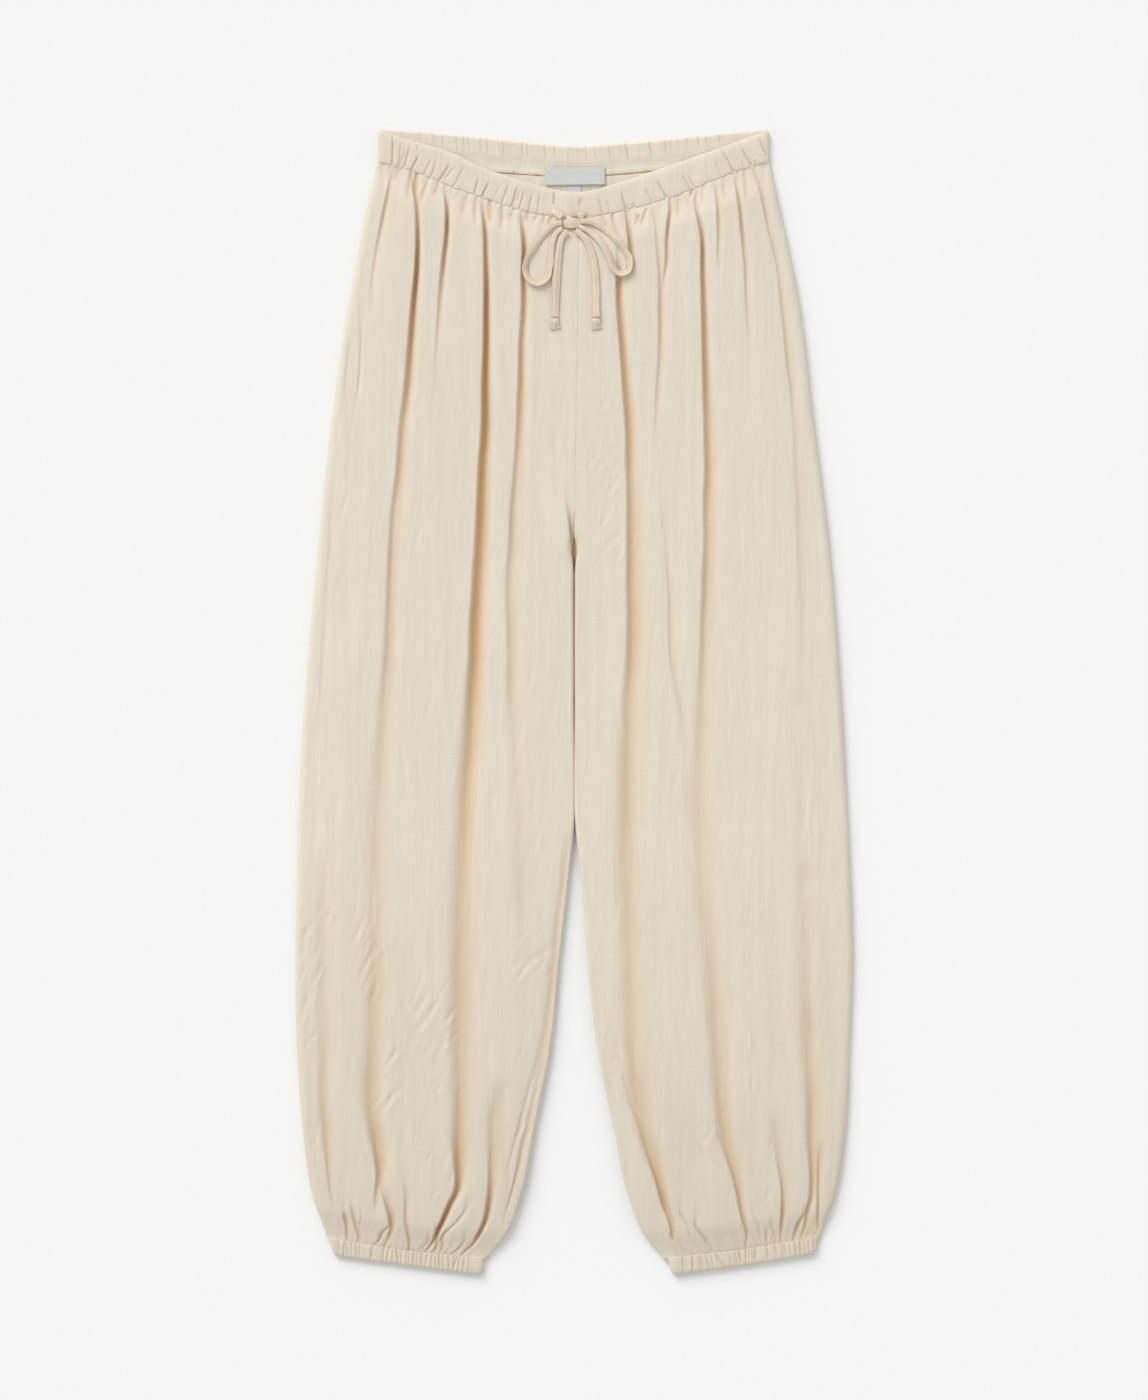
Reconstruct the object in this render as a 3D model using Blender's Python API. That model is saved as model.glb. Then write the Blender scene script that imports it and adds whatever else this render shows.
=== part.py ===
"""Harem trousers laid flat, face up.

The waist is towards +Y, the wearer's left side towards +X, and the cloth lies on the plane z = 0.
Each piece of cloth is a wall lofted between a grid of points on its outer face and one on its
inner face, because the cloth is folded over more tightly at its sides than an even offset could
follow. The front lies on the back: along a fold the two nearly touch, and between folds the front
stands up as a soft pleat with the back's own slack just under it. All tables are in millimetres.
"""

import math
from collections import namedtuple

import bpy

MM = 0.001

# How the cloth lies
CLOTH_WALL = 1.5  # one leg panel with its crinkle
SEAM_GAP = 0.3  # between pieces that are sewn together
CLOSEST_LAYERS = 0.9  # front to back, along the deepest folds
LOOSEST_LAYERS = 3.6  # front to back, under the pleats
FOLDED_EDGE = 9.0  # how far in from a side or an inseam the cloth rounds over
SIDE_SEAM_Z = 4.7  # the height of the side seams and inseams
CROTCH_Y = 136.0
INSEAM_FORMS_OVER = 45.0  # below the crotch the centre seam turns into the two inseams
LEG_GAP = 0.5  # between the two legs where they lie side by side
EDGE_LEVEL = 6.4  # the front's height where it is sewn to a waistband or a cuff
WAIST_PUFF = 30.0  # how far below the waistband the gathers reach their full height
CUFF_PUFF = 26.0  # and above the cuffs
FOLDS_BEGIN = 10.0  # how far below the waistband the folds reach their full depth
FOLDS_END = 8.0  # and above the cuffs
SHARP_ANGLE = math.radians(60)  # a fold sharper than this is shaded as an edge

# Waistband and cuffs: elastic casings, thicker than one layer of cloth
WAISTBAND_WALL = 2.2
CUFF_WALL = 1.8
BAND_LEVEL = 6.2  # the height of a front band between its gathers
BAND_PUFF = 0.5  # how much a band's middle stands above its edges
BAND_FOLDED_EDGE = 5.0
BAND_SEAM_Z = 3.2
BAND_STEP = 8.0  # how far below the waistband what lies on it comes down to the pleats
GATHER_DEPTH = 0.9
FRONT_WAIST_GATHERS = 44
BACK_WAIST_GATHERS = 34
CUFF_GATHERS = 20
WAIST_GATHER_STEPS = 3  # columns for each gather
CUFF_GATHER_STEPS = 2
WAIST_HALF_TOP = 163.7  # the waistband is a little narrower along its top edge
WAIST_HALF_SEAM = 168.6

# The drawstring: a flat tie, laid in a bow
TIE_WIDTH = 5.2
TIE_PINCHED = 0.56  # its width at the knot, as a share
TIE_PINCH_LENGTH = 11.0
TIE_STEP = 8.0
KNOT_CENTRE = (-2.2, 413.2)
KNOT_HALF = (7.0, 6.2, 3.7)
END_KNOT_HALF = (5.6, 4.2, 3.2)
KNOT_SEGMENTS = 12
KNOT_RINGS = 8

# The label inside the back waistband
LABEL_WALL = 1.0
LABEL_CENTRE_X = 1.3
LABEL_SIZE = (51.6, 15.5)
LABEL_TOP_Y = 461.6
SIZE_TAB_SIZE = (11.0, 11.0)
SIZE_TAB_LIFT = 0.4  # its middle, where it bends down off the waistband
LABEL_TILT = 0.6  # how much the label's left end hangs lower

CREAM = (0.745, 0.672, 0.565)
WHITE = (0.72, 0.73, 0.73)

# Outline of the two legs from cuff to waist, with the pleats' height (crown) at each level
Leg = namedtuple("Leg", "y right_side right_inner left_inner left_side crown")
LEGS = (
    Leg(-478.0, -206.0, -75.0, 77.5, 206.0, 8.4),
    Leg(-462.0, -211.3, -60.5, 63.5, 211.5, 9.2),
    Leg(-427.0, -224.0, -45.2, 47.7, 224.9, 9.9),
    Leg(-367.0, -233.1, -33.1, 34.4, 234.4, 9.8),
    Leg(-298.0, -238.2, -19.4, 20.2, 237.8, 9.4),
    Leg(-221.0, -239.5, -11.6, 11.6, 240.4, 9.2),
    Leg(-144.0, -238.2, -3.0, 5.6, 238.2, 9.4),
    Leg(-118.0, -237.8, -0.2, 2.4, 236.9, 9.5),
    Leg(3.0, -231.8, 0.6, 0.6, 230.5, 9.8),
    Leg(136.0, -219.7, 0.7, 0.7, 220.2, 10.1),
    Leg(243.0, -208.6, 2.2, 2.2, 206.8, 10.2),
    Leg(347.0, -193.1, 3.9, 3.9, 193.9, 10.1),
    Leg(433.0, -176.7, 4.9, 4.9, 175.9, 9.9),
    Leg(467.0, -168.6, 5.2, 5.2, 168.6, 9.8),
)

# The waistband's four edges, at places across it
Waist = namedtuple("Waist", "x front_top front_seam back_top back_seam")
WAIST = (
    Waist(-168.6, 493.4, 466.0, 494.5, 466.0),
    Waist(-145.0, 486.0, 460.2, 493.0, 463.5),
    Waist(-105.0, 474.0, 444.5, 489.4, 460.0),
    Waist(-80.0, 462.3, 435.8, 487.0, 457.9),
    Waist(-40.0, 448.6, 423.2, 482.7, 455.0),
    Waist(5.0, 440.3, 418.0, 479.6, 453.2),
    Waist(42.0, 449.4, 424.0, 482.0, 455.5),
    Waist(80.0, 462.0, 434.2, 485.6, 459.0),
    Waist(122.0, 476.8, 450.3, 489.8, 462.0),
    Waist(145.0, 485.2, 459.2, 492.0, 464.0),
    Waist(168.6, 493.4, 466.0, 494.5, 466.0),
)

# The largest folds, each a valley that runs from the waist to the cuff: where it lies and how
# deep it is, from 0 to 1, at the levels of FOLD_LEVELS
FOLD_LEVELS = (-462.0, -367.0, -221.0, -15.0, 192.0, 347.0, 437.0)
FOLD_REACH = (7.0, 13.0, 17.0, 17.0, 13.0, 9.0, 6.5)  # half a valley's width at those levels
SHARP_SIDE = 0.75  # the flank towards -X is steeper
SOFT_SIDE = 1.25
CREASE_SHARE = 0.8  # of a valley's depth; the rest is a wider hollow around its crease
HOLLOW_WIDTH = 2.5  # the hollow's width, in widths of the crease
EDGE_ROOM = 0.6  # the most of the way from an edge to the nearest fold that rounds over
FLANK_ROOM = 0.38  # the most of the way between two folds that each flank takes
Fold = namedtuple("Fold", "leg places depths")
FOLDS = (
    Fold("right", (-198, -211, -217, -206, -190, -175, -159.5), (0.4, 0.35, 0.3, 0.15, 0.1, 0.35, 0.5)),
    Fold("right", (-159.5, -170, -168, -165, -149, -138, -135.5), (0.5, 0.45, 0.5, 0.6, 0.8, 1, 0.8)),
    Fold("right", (-147, -139, -134, -128, -120, -114, -109), (0.4, 0.15, 0, 0, 0.2, 0.8, 0.7)),
    Fold("right", (-118, -97.5, -95, -89, -77.5, -75.5, -78), (0.8, 0.6, 0.6, 1, 1, 0.95, 0.6)),
    Fold("right", (-81, -67.5, -56, -49, -49.5, -42.5, -45), (0.7, 0.5, 0.1, 0.35, 0.6, 1, 0.7)),
    Fold("left", (85.5, 62.5, 48, 48, 49, 39, 47), (0.6, 0.7, 0.5, 0.5, 1, 1, 0.5)),
    Fold("left", (110.5, 91.5, 85, 88, 77, 75, 72), (0.5, 0.2, 0, 0.4, 0.4, 0.6, 0.6)),
    Fold("left", (150, 133, 116, 113, 115, 111.5, 106), (0.6, 0.8, 0.7, 0.8, 1, 0.9, 0.6)),
    Fold("left", (177.5, 173, 159, 153.5, 152, 148.5, 144), (0.5, 0.4, 0.05, 0, 0.15, 0.6, 0.6)),
    Fold("left", (197.5, 206, 197.5, 197.5, 194, 177, 162), (0.8, 0.8, 0.5, 0.3, 0.5, 0.7, 0.7)),
)

# The cuffs' top edges and hems at three places across, from -X to +X
Cuff = namedtuple("Cuff", "leg x_top top x_hem hem")
CUFFS = (
    Cuff(
        "right",
        (-211.6, -144.0, -77.0), (-460.3, -471.5, -477.6),
        (-207.7, -142.5, -77.8), (-476.0, -484.8, -493.0),
    ),
    Cuff(
        "left",
        (80.5, 146.0, 210.8), (-478.0, -470.5, -459.5),
        (83.9, 147.0, 209.4), (-493.0, -484.5, -474.5),
    ),
)  # fmt: skip

# Rows of a leg panel, as shares of the way from waistband to cuff; CROTCH_Y is at the ninth
ROWS = (
    0, 0.014, 0.032, 0.056, 0.09, 0.13, 0.18, 0.24, 0.315, 0.34,
    0.365, 0.41, 0.46, 0.515, 0.57, 0.625, 0.68, 0.73, 0.78, 0.825,
    0.865, 0.9, 0.93, 0.955, 0.976, 0.99, 1,
)  # fmt: skip
BACK_ROWS = ROWS[::2]
SEAM_SEARCH_STEPS = 6  # enough to find where a column meets a seam

# Columns at an edge: how far in each lies where the edge is a flat seam and where it is folded
# over, as shares of the edge's reach, and how far up the folded edge it is
EdgeStep = namedtuple("EdgeStep", "flat folded rise")
EDGE_STEPS = (
    EdgeStep(0, 0, 0),
    EdgeStep(0.33, 0.13, 0.5),
    EdgeStep(0.67, 0.5, 0.87),
    EdgeStep(1, 1, 1),
)

# The bow's routes, seen from above; each is read as a smooth curve
STRANDS = {
    "right": ((-18.8, 424.6), (-15.0, 421.6), (-9.8, 418.0)),
    "left": ((11.6, 421.4), (8.0, 420.4), (3.8, 418.8)),
}
LOOPS = {
    "right": (
        (-9.8, 413.4), (-15.4, 412.4), (-22.5, 407.2), (-29.0, 399.4), (-35.2, 390.0),
        (-40.2, 380.6), (-41.6, 371.6), (-38.3, 363.8), (-30.5, 360.4), (-23.4, 364.6),
        (-20.6, 374.0), (-19.2, 386.0), (-17.8, 397.0), (-14.4, 404.6), (-9.6, 408.4),
    ),
    "left": (
        (5.8, 414.4), (13.6, 414.2), (23.6, 409.6), (33.6, 401.2), (42.8, 391.0),
        (48.4, 380.0), (47.2, 371.6), (40.8, 369.0), (34.6, 373.4), (31.0, 383.0),
        (25.4, 393.4), (18.4, 401.8), (11.4, 407.0), (5.0, 409.4),
    ),
}  # fmt: skip
TAILS = {
    "right": (
        (-5.6, 406.2), (-9.8, 400.6), (-12.2, 392.0), (-13.4, 381.0), (-14.4, 369.0),
        (-15.2, 356.0), (-15.8, 343.0), (-16.0, 331.6),
    ),
    "left": (
        (1.8, 406.4), (8.4, 401.2), (13.2, 392.8), (16.4, 382.4), (18.2, 370.4),
        (19.0, 356.8), (19.0, 343.0), (19.4, 331.6),
    ),
}  # fmt: skip


def smooth_through(stations, values, at):
    """The value at a place on a smooth curve through the stations, which go up."""
    if at <= stations[0]:
        return values[0]
    if at >= stations[-1]:
        return values[-1]
    last = len(stations) - 1
    i = max(k for k in range(last) if stations[k] <= at)

    def slope(k):
        before, after = max(k - 1, 0), min(k + 1, last)
        return (values[after] - values[before]) / (stations[after] - stations[before])

    width = stations[i + 1] - stations[i]
    t = (at - stations[i]) / width
    rise = values[i + 1] - values[i]
    start, end = slope(i) * width, slope(i + 1) * width
    return values[i] + start * t + (3 * rise - 2 * start - end) * t**2 + (start + end - 2 * rise) * t**3


def column(table, name, stations="y"):
    """A reader of one named column of a table, smooth between its rows."""
    places = [getattr(row, stations) for row in table]
    values = [getattr(row, name) for row in table]
    return lambda at: smooth_through(places, values, at)


def ease(share):
    share = min(max(share, 0), 1)
    return share * share * (3 - 2 * share)


def between(low, high, share):
    return low + (high - low) * share


LEG_EDGES = {
    "right": (column(LEGS, "right_side"), column(LEGS, "right_inner")),
    "left": (column(LEGS, "left_inner"), column(LEGS, "left_side")),
}
crown_at = column(LEGS, "crown")
WAIST_SEAM = {"front": column(WAIST, "front_seam", "x"), "back": column(WAIST, "back_seam", "x")}
WAIST_TOP = {"front": column(WAIST, "front_top", "x"), "back": column(WAIST, "back_top", "x")}


def cuff_edge(cuff, edge):
    """The cuff's top or hem edge as a function of x."""
    places = cuff.x_top if edge == "top" else cuff.x_hem
    return lambda x: smooth_through(places, getattr(cuff, edge), x)


def fold_places(leg, y):
    """(x, depth, reach) of each of a leg's folds at a level."""
    reach = smooth_through(FOLD_LEVELS, FOLD_REACH, y)
    return [
        (smooth_through(FOLD_LEVELS, fold.places, y), smooth_through(FOLD_LEVELS, fold.depths, y), reach)
        for fold in FOLDS
        if fold.leg == leg
    ]


def dip(offset, reach):
    """1 at the bottom of a valley and 0 at its rim; most of it is a crease in a wider hollow."""

    def hollow(half_width):
        return 0.5 + 0.5 * math.cos(math.pi * min(abs(offset) / half_width, 1))

    crease = reach * (SHARP_SIDE if offset < 0 else SOFT_SIDE)
    return between(hollow(HOLLOW_WIDTH * crease), hollow(crease), CREASE_SHARE)


def puff(below_waist, above_cuff):
    """How far the cloth has puffed out of its waistband and cuff, from 0 to 1."""
    return min(ease(below_waist / WAIST_PUFF), ease(above_cuff / CUFF_PUFF))


def pleat_height(leg, x, y, below_waist, above_cuff):
    """The front's height away from its folded edges."""
    top = between(EDGE_LEVEL, crown_at(y), puff(below_waist, above_cuff))
    lowest = 2 * CLOTH_WALL + CLOSEST_LAYERS
    depth = min(1, sum(depth * dip(x - at, reach) for at, depth, reach in fold_places(leg, y)))
    settled = ease(below_waist / FOLDS_BEGIN) * ease(above_cuff / FOLDS_END)
    return between(top, lowest, depth * settled)


def slack_height(height):
    """How far the back's slack rises off the plane under a pleat of that height."""
    return max(0.0, height - 2 * CLOTH_WALL - LOOSEST_LAYERS)


def leg_columns(leg, y):
    """(outer x, inner x, rise) of each grid column: rise is 0 on a folded edge and 1 away from it."""
    low, high = (edge(y) for edge in LEG_EDGES[leg])
    inner_fold = min(max((CROTCH_Y - y) / INSEAM_FORMS_OVER, 0), 1)
    inner_gap = between(SEAM_GAP, LEG_GAP, inner_fold) / 2
    low_fold, high_fold = (1, inner_fold) if leg == "right" else (inner_fold, 1)
    low += inner_gap if leg == "left" else 0
    high -= inner_gap if leg == "right" else 0
    folds = fold_places(leg, y)
    reach = folds[0][2]

    def edge(start, inward, nearest, folded):
        length = min(FOLDED_EDGE, EDGE_ROOM * abs(nearest - start))
        columns = []
        for step in EDGE_STEPS:
            outer = length * between(step.flat, step.folded, folded)
            wall = CLOTH_WALL + (length - CLOTH_WALL) * step.folded
            inner = between(length * step.flat, wall, folded)
            columns.append((start + inward * outer, start + inward * inner, 1 - folded * (1 - step.rise)))
        return columns

    low_edge = edge(low, 1, folds[0][0], low_fold)
    high_edge = edge(high, -1, folds[-1][0], high_fold)[::-1]
    stops = [low_edge[-1][0], *(place for place, _, _ in folds), high_edge[0][0]]
    middle = []
    for k, (before, after) in enumerate(zip(stops, stops[1:])):
        room = FLANK_ROOM * (after - before)
        if k > 0:
            middle.append(before + min(SOFT_SIDE * reach, room))
        middle.append((before + after) / 2)
        if k < len(folds):
            middle += [after - min(SHARP_SIDE * reach, room), after]
    return low_edge + [(x, x, 1) for x in middle] + high_edge


def end_of_column(leg, k, y, seam):
    """The level at which a grid column meets a seam, found from a level near it."""
    for _ in range(SEAM_SEARCH_STEPS):
        y = seam(leg_columns(leg, y)[k][0])
    return y


def leg_grids(leg, layer, rows):
    """Rows of points on the outer and the inner face of a front or back leg panel."""
    cuff_top = cuff_edge(next(cuff for cuff in CUFFS if cuff.leg == leg), "top")
    columns = range(len(leg_columns(leg, 0)))
    tops = [end_of_column(leg, k, LEGS[-1].y, WAIST_SEAM[layer]) - SEAM_GAP for k in columns]
    bottoms = [end_of_column(leg, k, LEGS[0].y, cuff_top) + SEAM_GAP for k in columns]
    outer, inner = [], []
    for share in rows:
        outer_row, inner_row = [], []
        for k, top, bottom in zip(columns, tops, bottoms):
            y = between(top, bottom, share)
            outer_x, inner_x, rise = leg_columns(leg, y)[k]
            below_waist, above_cuff = WAIST_SEAM["front"](outer_x) - y, y - bottom
            height = pleat_height(leg, outer_x, y, below_waist, above_cuff)
            seam = between(BAND_SEAM_Z, SIDE_SEAM_Z, puff(below_waist, above_cuff))
            if layer == "front":
                rim, full, wall = seam + SEAM_GAP / 2, height, -CLOTH_WALL
            else:
                rim, full, wall = seam - SEAM_GAP / 2, slack_height(height), CLOTH_WALL
            outer_row.append((outer_x, y, between(rim, full, rise)))
            inner_row.append((inner_x, y, between(rim, full + wall, rise)))
        outer.append(outer_row)
        inner.append(inner_row)
    return outer, inner


def band_grids(ends, top, hem, gathers, steps, wall, layer):
    """Rows of points on the outer and the inner face of an elastic casing, gathered on top.

    ends gives the casing's lowest and highest x, each along its top edge and along its hem.
    """
    waves = gathers * steps
    outer, inner = [], []
    for share, puff in ((0, 0), (0.5, BAND_PUFF), (1, 0)):
        low, high = (between(along_top, along_hem, share) for along_top, along_hem in ends)
        places = []
        for step in EDGE_STEPS[:-1]:
            inner_reach = between(wall, BAND_FOLDED_EDGE, step.folded)
            places.append((BAND_FOLDED_EDGE * step.folded, inner_reach, step.rise, 0))
        for k in range(waves + 1):
            reach = between(BAND_FOLDED_EDGE, high - low - BAND_FOLDED_EDGE, k / waves)
            places.append((reach, reach, 1, 0.5 - 0.5 * math.cos(2 * math.pi * k / steps)))
        for outer_reach, inner_reach, rise, wave in places[len(EDGE_STEPS) - 2 :: -1]:
            places.append((high - low - outer_reach, high - low - inner_reach, rise, wave))
        outer_row, inner_row = [], []
        for outer_reach, inner_reach, rise, wave in places:
            y = between(top(low + outer_reach), hem(low + outer_reach), share)
            if layer == "front":
                rim, level, inside = BAND_SEAM_Z + SEAM_GAP / 2, BAND_LEVEL + puff, BAND_LEVEL + puff - wall
                level += GATHER_DEPTH * wave
            else:
                rim, level, inside = BAND_SEAM_Z - SEAM_GAP / 2, 0, wall + GATHER_DEPTH * wave
            outer_row.append((low + outer_reach, y, between(rim, level, rise)))
            inner_row.append((low + inner_reach, y, between(rim, inside, rise)))
        outer.append(outer_row)
        inner.append(inner_row)
    return outer, inner


def material(name, colour, roughness):
    made = bpy.data.materials.new(name)
    made.use_nodes = True
    shader = made.node_tree.nodes["Principled BSDF"]
    shader.inputs["Base Color"].default_value = (*colour, 1)
    shader.inputs["Roughness"].default_value = roughness
    shader.inputs["Metallic"].default_value = 0
    return made


def add(name, data, finish, collection):
    piece = bpy.data.objects.new(name, data)
    data.materials.append(finish)
    collection.objects.link(piece)
    return piece


def cloth(name, outer, inner, finish, collection):
    """A wall of cloth between the rows of points on its outer and on its inner face."""
    rows, wide = len(outer), len(outer[0])
    points = [(x * MM, y * MM, z * MM) for grid in (outer, inner) for row in grid for x, y, z in row]
    inside = rows * wide
    faces = []
    for i in range(rows - 1):
        for k in range(wide - 1):
            a = i * wide + k
            face = (a, a + wide, a + wide + 1, a + 1)
            faces += [face, tuple(corner + inside for corner in face[::-1])]
    rim = [i * wide for i in range(rows)]
    rim += [(rows - 1) * wide + k for k in range(1, wide)]
    rim += [i * wide + wide - 1 for i in range(rows - 2, -1, -1)]
    rim += range(wide - 2, 0, -1)
    faces += [(b, a, a + inside, b + inside) for a, b in zip(rim, rim[1:] + rim[:1])]
    if outer[0][wide // 2][2] < inner[0][wide // 2][2]:
        faces = [face[::-1] for face in faces]
    mesh = bpy.data.meshes.new(name)
    mesh.from_pydata(points, [], faces)
    mesh.shade_smooth()
    mesh.set_sharp_from_angle(angle=SHARP_ANGLE)
    return add(name, mesh, finish, collection)


def route(points):
    """Points a TIE_STEP apart on a smooth curve through the route's own points."""
    lengths = [0.0]
    for start, end in zip(points, points[1:]):
        lengths.append(lengths[-1] + math.dist(start, end))
    steps = max(2, round(lengths[-1] / TIE_STEP))
    at = [lengths[-1] * k / steps for k in range(steps + 1)]
    return [tuple(smooth_through(lengths, axis, place) for axis in zip(*points)) for place in at]


def lying_height(x, y):
    """The height of the tops of the pleats, or of the waistband's gathers, at a place on the front."""
    seam, top = WAIST_SEAM["front"](x), WAIST_TOP["front"](x)
    if y > seam:
        from_middle = abs(2 * (y - seam) / (top - seam) - 1)
        return BAND_LEVEL + BAND_PUFF * max(1 - from_middle, 0) + GATHER_DEPTH
    beside_band = (BAND_LEVEL + GATHER_DEPTH) * (1 - ease((seam - y) / BAND_STEP))
    return max(beside_band, between(EDGE_LEVEL, crown_at(y), ease((seam - y) / WAIST_PUFF)))


def tie(name, points, pinched, finish, collection):
    """A round tube laid on the front along a route; pinched says which ends a knot squeezes."""
    spine = route(points)
    curve = bpy.data.curves.new(name, "CURVE")
    curve.dimensions = "3D"
    curve.bevel_depth = TIE_WIDTH / 2 * MM
    curve.bevel_resolution = 2
    curve.use_fill_caps = True
    spline = curve.splines.new("POLY")
    spline.points.add(len(spine) - 1)
    for point, (x, y) in zip(spline.points, spine):
        away = min([math.dist((x, y), spine[end]) for end in pinched], default=TIE_PINCH_LENGTH)
        point.radius = between(TIE_PINCHED, 1, min(away / TIE_PINCH_LENGTH, 1))
        z = lying_height(x, y) + SEAM_GAP + point.radius * TIE_WIDTH / 2
        point.co = (x * MM, y * MM, z * MM, 1)
    return add(name, curve, finish, collection)


def knot(name, centre, half, finish, collection):
    bpy.ops.mesh.primitive_uv_sphere_add(segments=KNOT_SEGMENTS, ring_count=KNOT_RINGS, radius=1)
    piece = bpy.context.object
    piece.name = piece.data.name = name
    for owner in list(piece.users_collection):
        owner.objects.unlink(piece)
    collection.objects.link(piece)
    for vertex in piece.data.vertices:
        vertex.co = [(middle + size * value) * MM for middle, size, value in zip(centre, half, vertex.co)]
    piece.data.shade_smooth()
    piece.data.materials.append(finish)
    return piece


def build_legs(finish, collection):
    for leg in ("right", "left"):
        for layer, rows in (("front", ROWS), ("back", BACK_ROWS)):
            cloth(f"{layer}_panel_{leg}", *leg_grids(leg, layer, rows), finish, collection)


def build_bands(finish, collection):
    waist_ends = ((-WAIST_HALF_TOP, -WAIST_HALF_SEAM), (WAIST_HALF_TOP, WAIST_HALF_SEAM))
    for layer, gathers in (("front", FRONT_WAIST_GATHERS), ("back", BACK_WAIST_GATHERS)):
        grids = band_grids(
            waist_ends, WAIST_TOP[layer], WAIST_SEAM[layer],
            gathers, WAIST_GATHER_STEPS, WAISTBAND_WALL, layer,
        )  # fmt: skip
        cloth(f"waistband_{layer}", *grids, finish, collection)
    for cuff in CUFFS:
        ends = ((cuff.x_top[0], cuff.x_hem[0]), (cuff.x_top[-1], cuff.x_hem[-1]))
        for layer in ("front", "back"):
            grids = band_grids(
                ends, cuff_edge(cuff, "top"), cuff_edge(cuff, "hem"),
                CUFF_GATHERS, CUFF_GATHER_STEPS, CUFF_WALL, layer,
            )  # fmt: skip
            cloth(f"cuff_{layer}_{cuff.leg}", *grids, finish, collection)


def build_drawstring(finish, collection):
    x, y = KNOT_CENTRE
    knot_z = lying_height(x, y) + 2 * SEAM_GAP + KNOT_HALF[2]
    knot("drawstring_knot", (x, y, knot_z), KNOT_HALF, finish, collection)
    for side in ("right", "left"):
        for name, points, pinched in (
            ("strand", STRANDS[side], (0, -1)),
            ("loop", LOOPS[side], (0, -1)),
            ("tail", TAILS[side], (0,)),
        ):
            tie(f"drawstring_{name}_{side}", points, pinched, finish, collection)
        end_x, end_y = TAILS[side][-1]
        centre = (end_x, end_y - END_KNOT_HALF[1] - SEAM_GAP)
        z = lying_height(*centre) + SEAM_GAP + END_KNOT_HALF[2]
        knot(f"drawstring_end_knot_{side}", (*centre, z), END_KNOT_HALF, finish, collection)


def build_labels(finish, collection):
    on_band = WAISTBAND_WALL + GATHER_DEPTH + SEAM_GAP
    on_back = CLOTH_WALL + SEAM_GAP

    def slab(name, centre_x, size, top_y, heights, tilt):
        under, over = [], []
        for row, z in enumerate(heights):
            y = top_y - size[1] * row / (len(heights) - 1)
            places = [(centre_x + size[0] * across, y + tilt * across) for across in (-0.5, 0, 0.5)]
            under.append([(*place, z) for place in places])
            over.append([(*place, z + LABEL_WALL) for place in places])
        cloth(name, over, under, finish, collection)

    slab("label_main", LABEL_CENTRE_X, LABEL_SIZE, LABEL_TOP_Y, (on_band,) * 3, LABEL_TILT)
    tab_top = LABEL_TOP_Y - LABEL_SIZE[1] - SEAM_GAP
    tab_heights = (on_band, on_back + SIZE_TAB_LIFT, on_back)
    slab("label_size", LABEL_CENTRE_X, SIZE_TAB_SIZE, tab_top, tab_heights, 0)


def main():
    for piece in list(bpy.data.objects):
        bpy.data.objects.remove(piece)
    collection = bpy.data.collections.new("harem_trousers")
    bpy.context.scene.collection.children.link(collection)
    cream_cloth = material("cream_crinkled_viscose", CREAM, 0.85)
    label_tape = material("white_woven_tape", WHITE, 0.7)
    build_legs(cream_cloth, collection)
    build_bands(cream_cloth, collection)
    build_drawstring(cream_cloth, collection)
    build_labels(label_tape, collection)


main()
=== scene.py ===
"""Harem trousers laid flat, face up: the looks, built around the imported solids.

The waist is towards +Y, the wearer's left side towards +X, and the trousers lie on z = 0. Every
piece of cloth is a thin shell on its solid's form, worked out on a grid of points with numpy.
"""

import math
from collections import namedtuple

import bpy
import numpy as np
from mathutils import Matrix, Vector


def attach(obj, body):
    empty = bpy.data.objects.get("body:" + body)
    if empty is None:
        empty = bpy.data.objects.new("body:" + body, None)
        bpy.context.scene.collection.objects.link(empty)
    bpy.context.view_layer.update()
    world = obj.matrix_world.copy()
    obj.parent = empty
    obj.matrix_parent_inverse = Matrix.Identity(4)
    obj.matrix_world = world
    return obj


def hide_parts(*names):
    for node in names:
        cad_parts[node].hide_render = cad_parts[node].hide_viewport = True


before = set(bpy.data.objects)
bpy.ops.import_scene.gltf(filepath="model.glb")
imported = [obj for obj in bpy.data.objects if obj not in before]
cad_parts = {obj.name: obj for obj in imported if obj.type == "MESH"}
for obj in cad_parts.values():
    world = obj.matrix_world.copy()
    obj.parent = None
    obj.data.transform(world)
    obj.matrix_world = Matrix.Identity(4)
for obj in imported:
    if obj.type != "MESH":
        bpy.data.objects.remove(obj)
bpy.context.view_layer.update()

MM = 0.001

# The photograph's framing
VIEW_CENTRE = (0.4, 2.6)
VIEW_HEIGHT = 1204.0
LENS = 110.0
SENSOR = 36.0

# How the cloth lies, as in the solids
SEAM_GAP = 0.3
FOLDED_EDGE = 6.0  # how far in from a side seam the cloth rounds over
INNER_EDGE = 3.0  # and from an inseam
SIDE_SEAM_Z = 2.6
BAND_SEAM_Z = 2.4
EDGE_LEVEL = 5.8  # the front's height where it is sewn to a waistband or a cuff
CROTCH_Y = 136.0
INSEAM_FORMS_OVER = 45.0
INSEAM_STARTS_OVER = 22.0  # how far above the crotch the two inner edges begin to part
LEG_GAP = 0.5
WAIST_PUFF = 30.0
CUFF_PUFF = 26.0
GATHER_WIDE = 0.7  # half a small gather's width
PLEAT_WIDE = 1.1
CLOTH = 0.5  # one layer of viscose crepe
EDGE_SAG = 0.74  # how high a leg lies at its edges, as a share of its crown
EDGE_SAG_REACH = 45.0
INNER_SAG_OVER = 170.0  # how far down the inseam takes to sag as far
EDGE_FLOOR_DROP = 2.2  # how deep a fold may be beside a seam, and how far off it may be full depth
FLOOR_REACH = 24.0
CRUSH_STRENGTH = 1.6
WRINKLE_STRENGTH = 0.5
WRINKLE_WIDE = 1.5  # half a single wrinkle's width
RIDGE_AWAY = 3.4  # the ridge beside it: how far off, how wide and how high it is
RIDGE_WIDE = 2.2
RIDGE_HIGH = 0.4
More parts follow.
